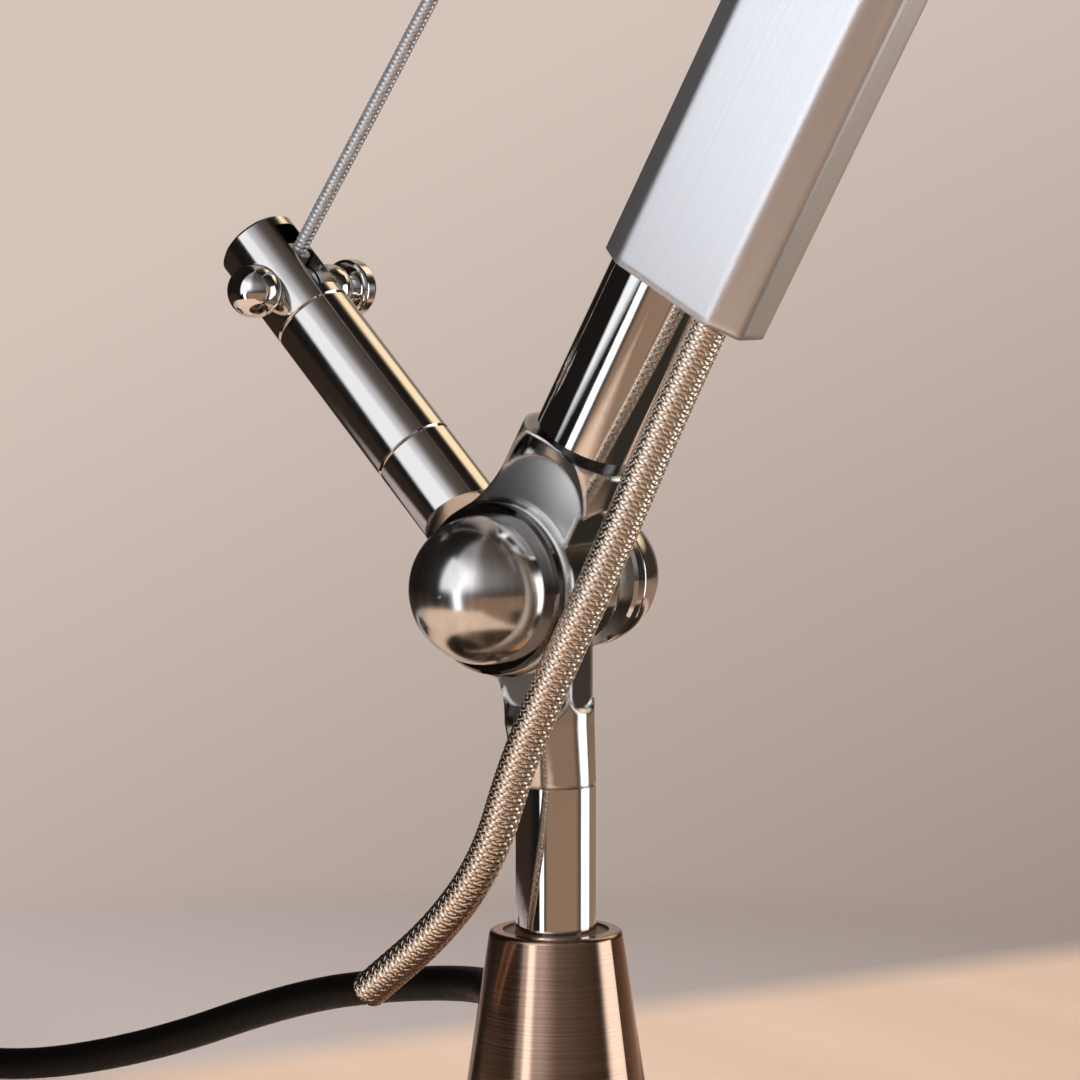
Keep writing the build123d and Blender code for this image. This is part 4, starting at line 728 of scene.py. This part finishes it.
def stops(fac, share, places):
    """A colour ramp from pairs of a place in degrees and a colour or a grey."""
    ramp = cloth.node("ShaderNodeValToRGB", {0: fac})
    ramp.color_ramp.elements.remove(ramp.color_ramp.elements[1])
    for i, (place, color) in enumerate(places):
        stop = ramp.color_ramp.elements[0] if i == 0 else ramp.color_ramp.elements.new(share(place))
        tone = color if isinstance(color, tuple) else (color, color, color)
        stop.position, stop.color = share(place), (*tone, 1.0)
    return ramp.outputs[0]


def mixed(kind, one, other):
    """Two colours, added or multiplied."""
    node = cloth.node("ShaderNodeMix", None, {0: 1.0}, data_type="RGBA", blend_type=kind)
    cloth.tree.links.new(one, node.inputs[6])
    cloth.tree.links.new(other, node.inputs[7])
    return node.outputs[2]


def layer(turns, heights):
    """One layer of the wrap: colours by the angle to the right of the camera, times colours by the height."""
    return mixed("MULTIPLY", stops(spot.outputs["X"], round_share, turns),
                 stops(spot.outputs["Y"], height_share, heights))


NIGHT, WALL_TONE, TAN = 0.0006, (0.24, 0.20, 0.18), (0.11, 0.07, 0.045)
BROWN, GOLD = (0.010, 0.006, 0.004), (0.55, 0.44, 0.28)
key = layer(((-58, NIGHT), (-56, 0.64), (-22, (0.62, 0.62, 0.66)), (-12, 0.34), (0, 0.12), (40, 0.05),
             (80, 0.01), (104, NIGHT)),
            ((-2, NIGHT), (7, 0.5), (15, 1.0), (30, 1.0), (44, 0.5), (58, 0.22), (88, 0.16)))
strips = layer(((-47, NIGHT), (-45, 1.0), (-37, (0.9, 0.9, 0.95)), (-33, NIGHT), (74, NIGHT), (79, 0.7),
                (84, 1.0), (102, 1.0), (107, NIGHT)),
               ((-36, NIGHT), (-24, 1.0), (11, 1.0), (21, NIGHT)))
room = layer(((-180, WALL_TONE), (-174, WALL_TONE), (-160, BROWN), (-84, BROWN), (-62, NIGHT), (-34, NIGHT),
              (-24, TAN), (58, TAN), (76, BROWN), (108, BROWN), (116, TAN), (158, TAN), (172, WALL_TONE)),
             ((-50, 1.3), (-26, 1.2), (-19, 1.2), (-6, 1.2), (0, 0.15), (40, 0.2), (88, 0.2)))
back_wall = layer(((-178, WALL_TONE), (-162, NIGHT), (148, NIGHT), (170, WALL_TONE)),
                  ((-6, NIGHT), (6, 0.6), (60, 0.6), (88, 0.2)))
gold = layer(((116, NIGHT), (126, GOLD), (148, GOLD), (156, NIGHT)),
             ((18, NIGHT), (30, 1.0), (50, 1.0), (60, NIGHT)))
lit = key
for more in (strips, room, back_wall, gold):
    lit = mixed("ADD", lit, more)
cloth.feed(Emission_Color=lit)
wear(cloth, wrap)
print("wrap faces", len(wrap.data.polygons))

# %% [markdown]
# Two small sheets finish what the metal sees, as a photographer would set them: a dark flag on the table's
# right, seen only in reflections, so that the joint's undersides mirror darkness instead of the pale table,
# and a glowing pale card just outside the picture, seen only in reflections, whose reflection lights the flat
# face of the arm. Both fade towards their sides, so no sharp edge shows in the chrome.


# %% The flag and the card
def soft_sided(finish, across, along):
    """Lets a sheet fade out towards its sides, over the given shares of its pattern's width and length."""
    pattern = finish.node("ShaderNodeUVMap", uv_map="pattern").outputs[0]
    place = finish.node("ShaderNodeSeparateXYZ", {0: pattern})
    inside = [finish.between(finish.math("PINGPONG", place.outputs[axis], 0.5), 0.0, 1.0, 0.0, share)
              for axis, share in (("X", across), ("Y", along))]
    finish.feed(Alpha=finish.math("MULTIPLY", *inside))


def sheet(name, grid):
    """A mesh of one open grid, with pattern coordinates from 0 to 1 over it."""
    rows, columns = grid.shape[:2]
    pattern = np.meshgrid(np.linspace(0.0, 1.0, columns), np.linspace(0.0, 1.0, rows))
    return mesh_of(name, [grid], closed=False, patterns=[np.stack(pattern, axis=-1)])


FLAG_NEAR, FLAG_FAR, FLAG_LIFT = 0.105, 0.28, 0.001
FLAG_FROM, FLAG_TO, FLAG_COLUMNS, FLAG_ROWS = 176.0, 30.0, 40, 8
FLAG_SOFT_ACROSS, FLAG_SOFT_ALONG = 0.14, 0.25
flag_turn = CAMERA_TURN + np.radians(np.linspace(FLAG_FROM, FLAG_TO, FLAG_COLUMNS))
flag_reach = np.linspace(FLAG_NEAR, FLAG_FAR, FLAG_ROWS)[:, None]
flag = sheet("dark_flag", np.stack(np.broadcast_arrays(
    flag_reach * np.sin(flag_turn), -flag_reach * np.cos(flag_turn), FLAG_LIFT), axis=-1))
flag_cloth = moulded("dark_flag_cloth", (0.03, 0.024, 0.018), 0.9, 300.0, 0.0001)
soft_sided(flag_cloth, FLAG_SOFT_ACROSS, FLAG_SOFT_ALONG)
wear(flag_cloth, flag)

CARD_MIDDLE, CARD_HALF_WIDE, CARD_HALF_TALL = np.array([-0.057, -0.236, 0.230]), 0.075, 0.115
CARD_POWER, CARD_SOFT, CARD_POINTS = 1.22, 0.12, 6
card_across = np.array([0.809, -0.588, 0.0]) * CARD_HALF_WIDE
card_up = np.array([0.0, 0.0, CARD_HALF_TALL])
edge = np.linspace(-1.0, 1.0, CARD_POINTS)
card = sheet("arm_card", CARD_MIDDLE + edge[None, :, None] * card_across + edge[:, None, None] * card_up)
card_cloth = Finish("arm_card_cloth", (0.0, 0.0, 0.0), 1.0, Emission_Color=(0.95, 0.965, 1.0, 1.0),
                    Emission_Strength=CARD_POWER)
soft_sided(card_cloth, CARD_SOFT, CARD_SOFT)
wear(card_cloth, card)

for piece in (wrap, flag, card):
    piece.visible_camera = False
    piece.visible_diffuse = False
    piece.visible_shadow = False
    piece.visible_transmission = False
print("flag normal", tuple(round(x) for x in flag.data.polygons[0].normal))

# %% [markdown]
# Three plain soft lamps give the light itself. They could be mirrored too, but the wrap already holds the
# bright shapes, so the lamps stay out of the reflections.

# %% The lamps
AIM = Vector((0.0, 0.0, 0.16))
SOFT_BOXES = [
    # name, degrees right of the camera, degrees up, metres away, width, height, watts, colour
    ("key_box", -40.0, 26.0, 1.5, 0.34, 1.5, 20.0, (1.0, 0.985, 0.97)),
    ("side_box", 78.0, 12.0, 1.4, 0.34, 1.3, 2.0, (1.0, 0.90, 0.82)),
    ("top_box", -10.0, 78.0, 1.6, 0.9, 0.9, 10.0, (1.0, 0.98, 0.96)),
]
for name, turn, up_by, away, wide, tall, watts, color in SOFT_BOXES:
    lamp = bpy.data.objects.new(name, bpy.data.lights.new(name, "AREA"))
    lamp.data.shape = "RECTANGLE"
    lamp.data.size, lamp.data.size_y = wide, tall
    lamp.data.energy = watts
    lamp.data.color = color
    lamp_way = toward_camera(radians(turn), radians(up_by))
    lamp.location = AIM + lamp_way * away
    lamp.rotation_euler = lamp_way.to_track_quat("Z", "Y").to_euler()
    lamp.visible_camera = False
    lamp.visible_glossy = False
    scene.collection.objects.link(lamp)
print("lamps", [box[0] for box in SOFT_BOXES])
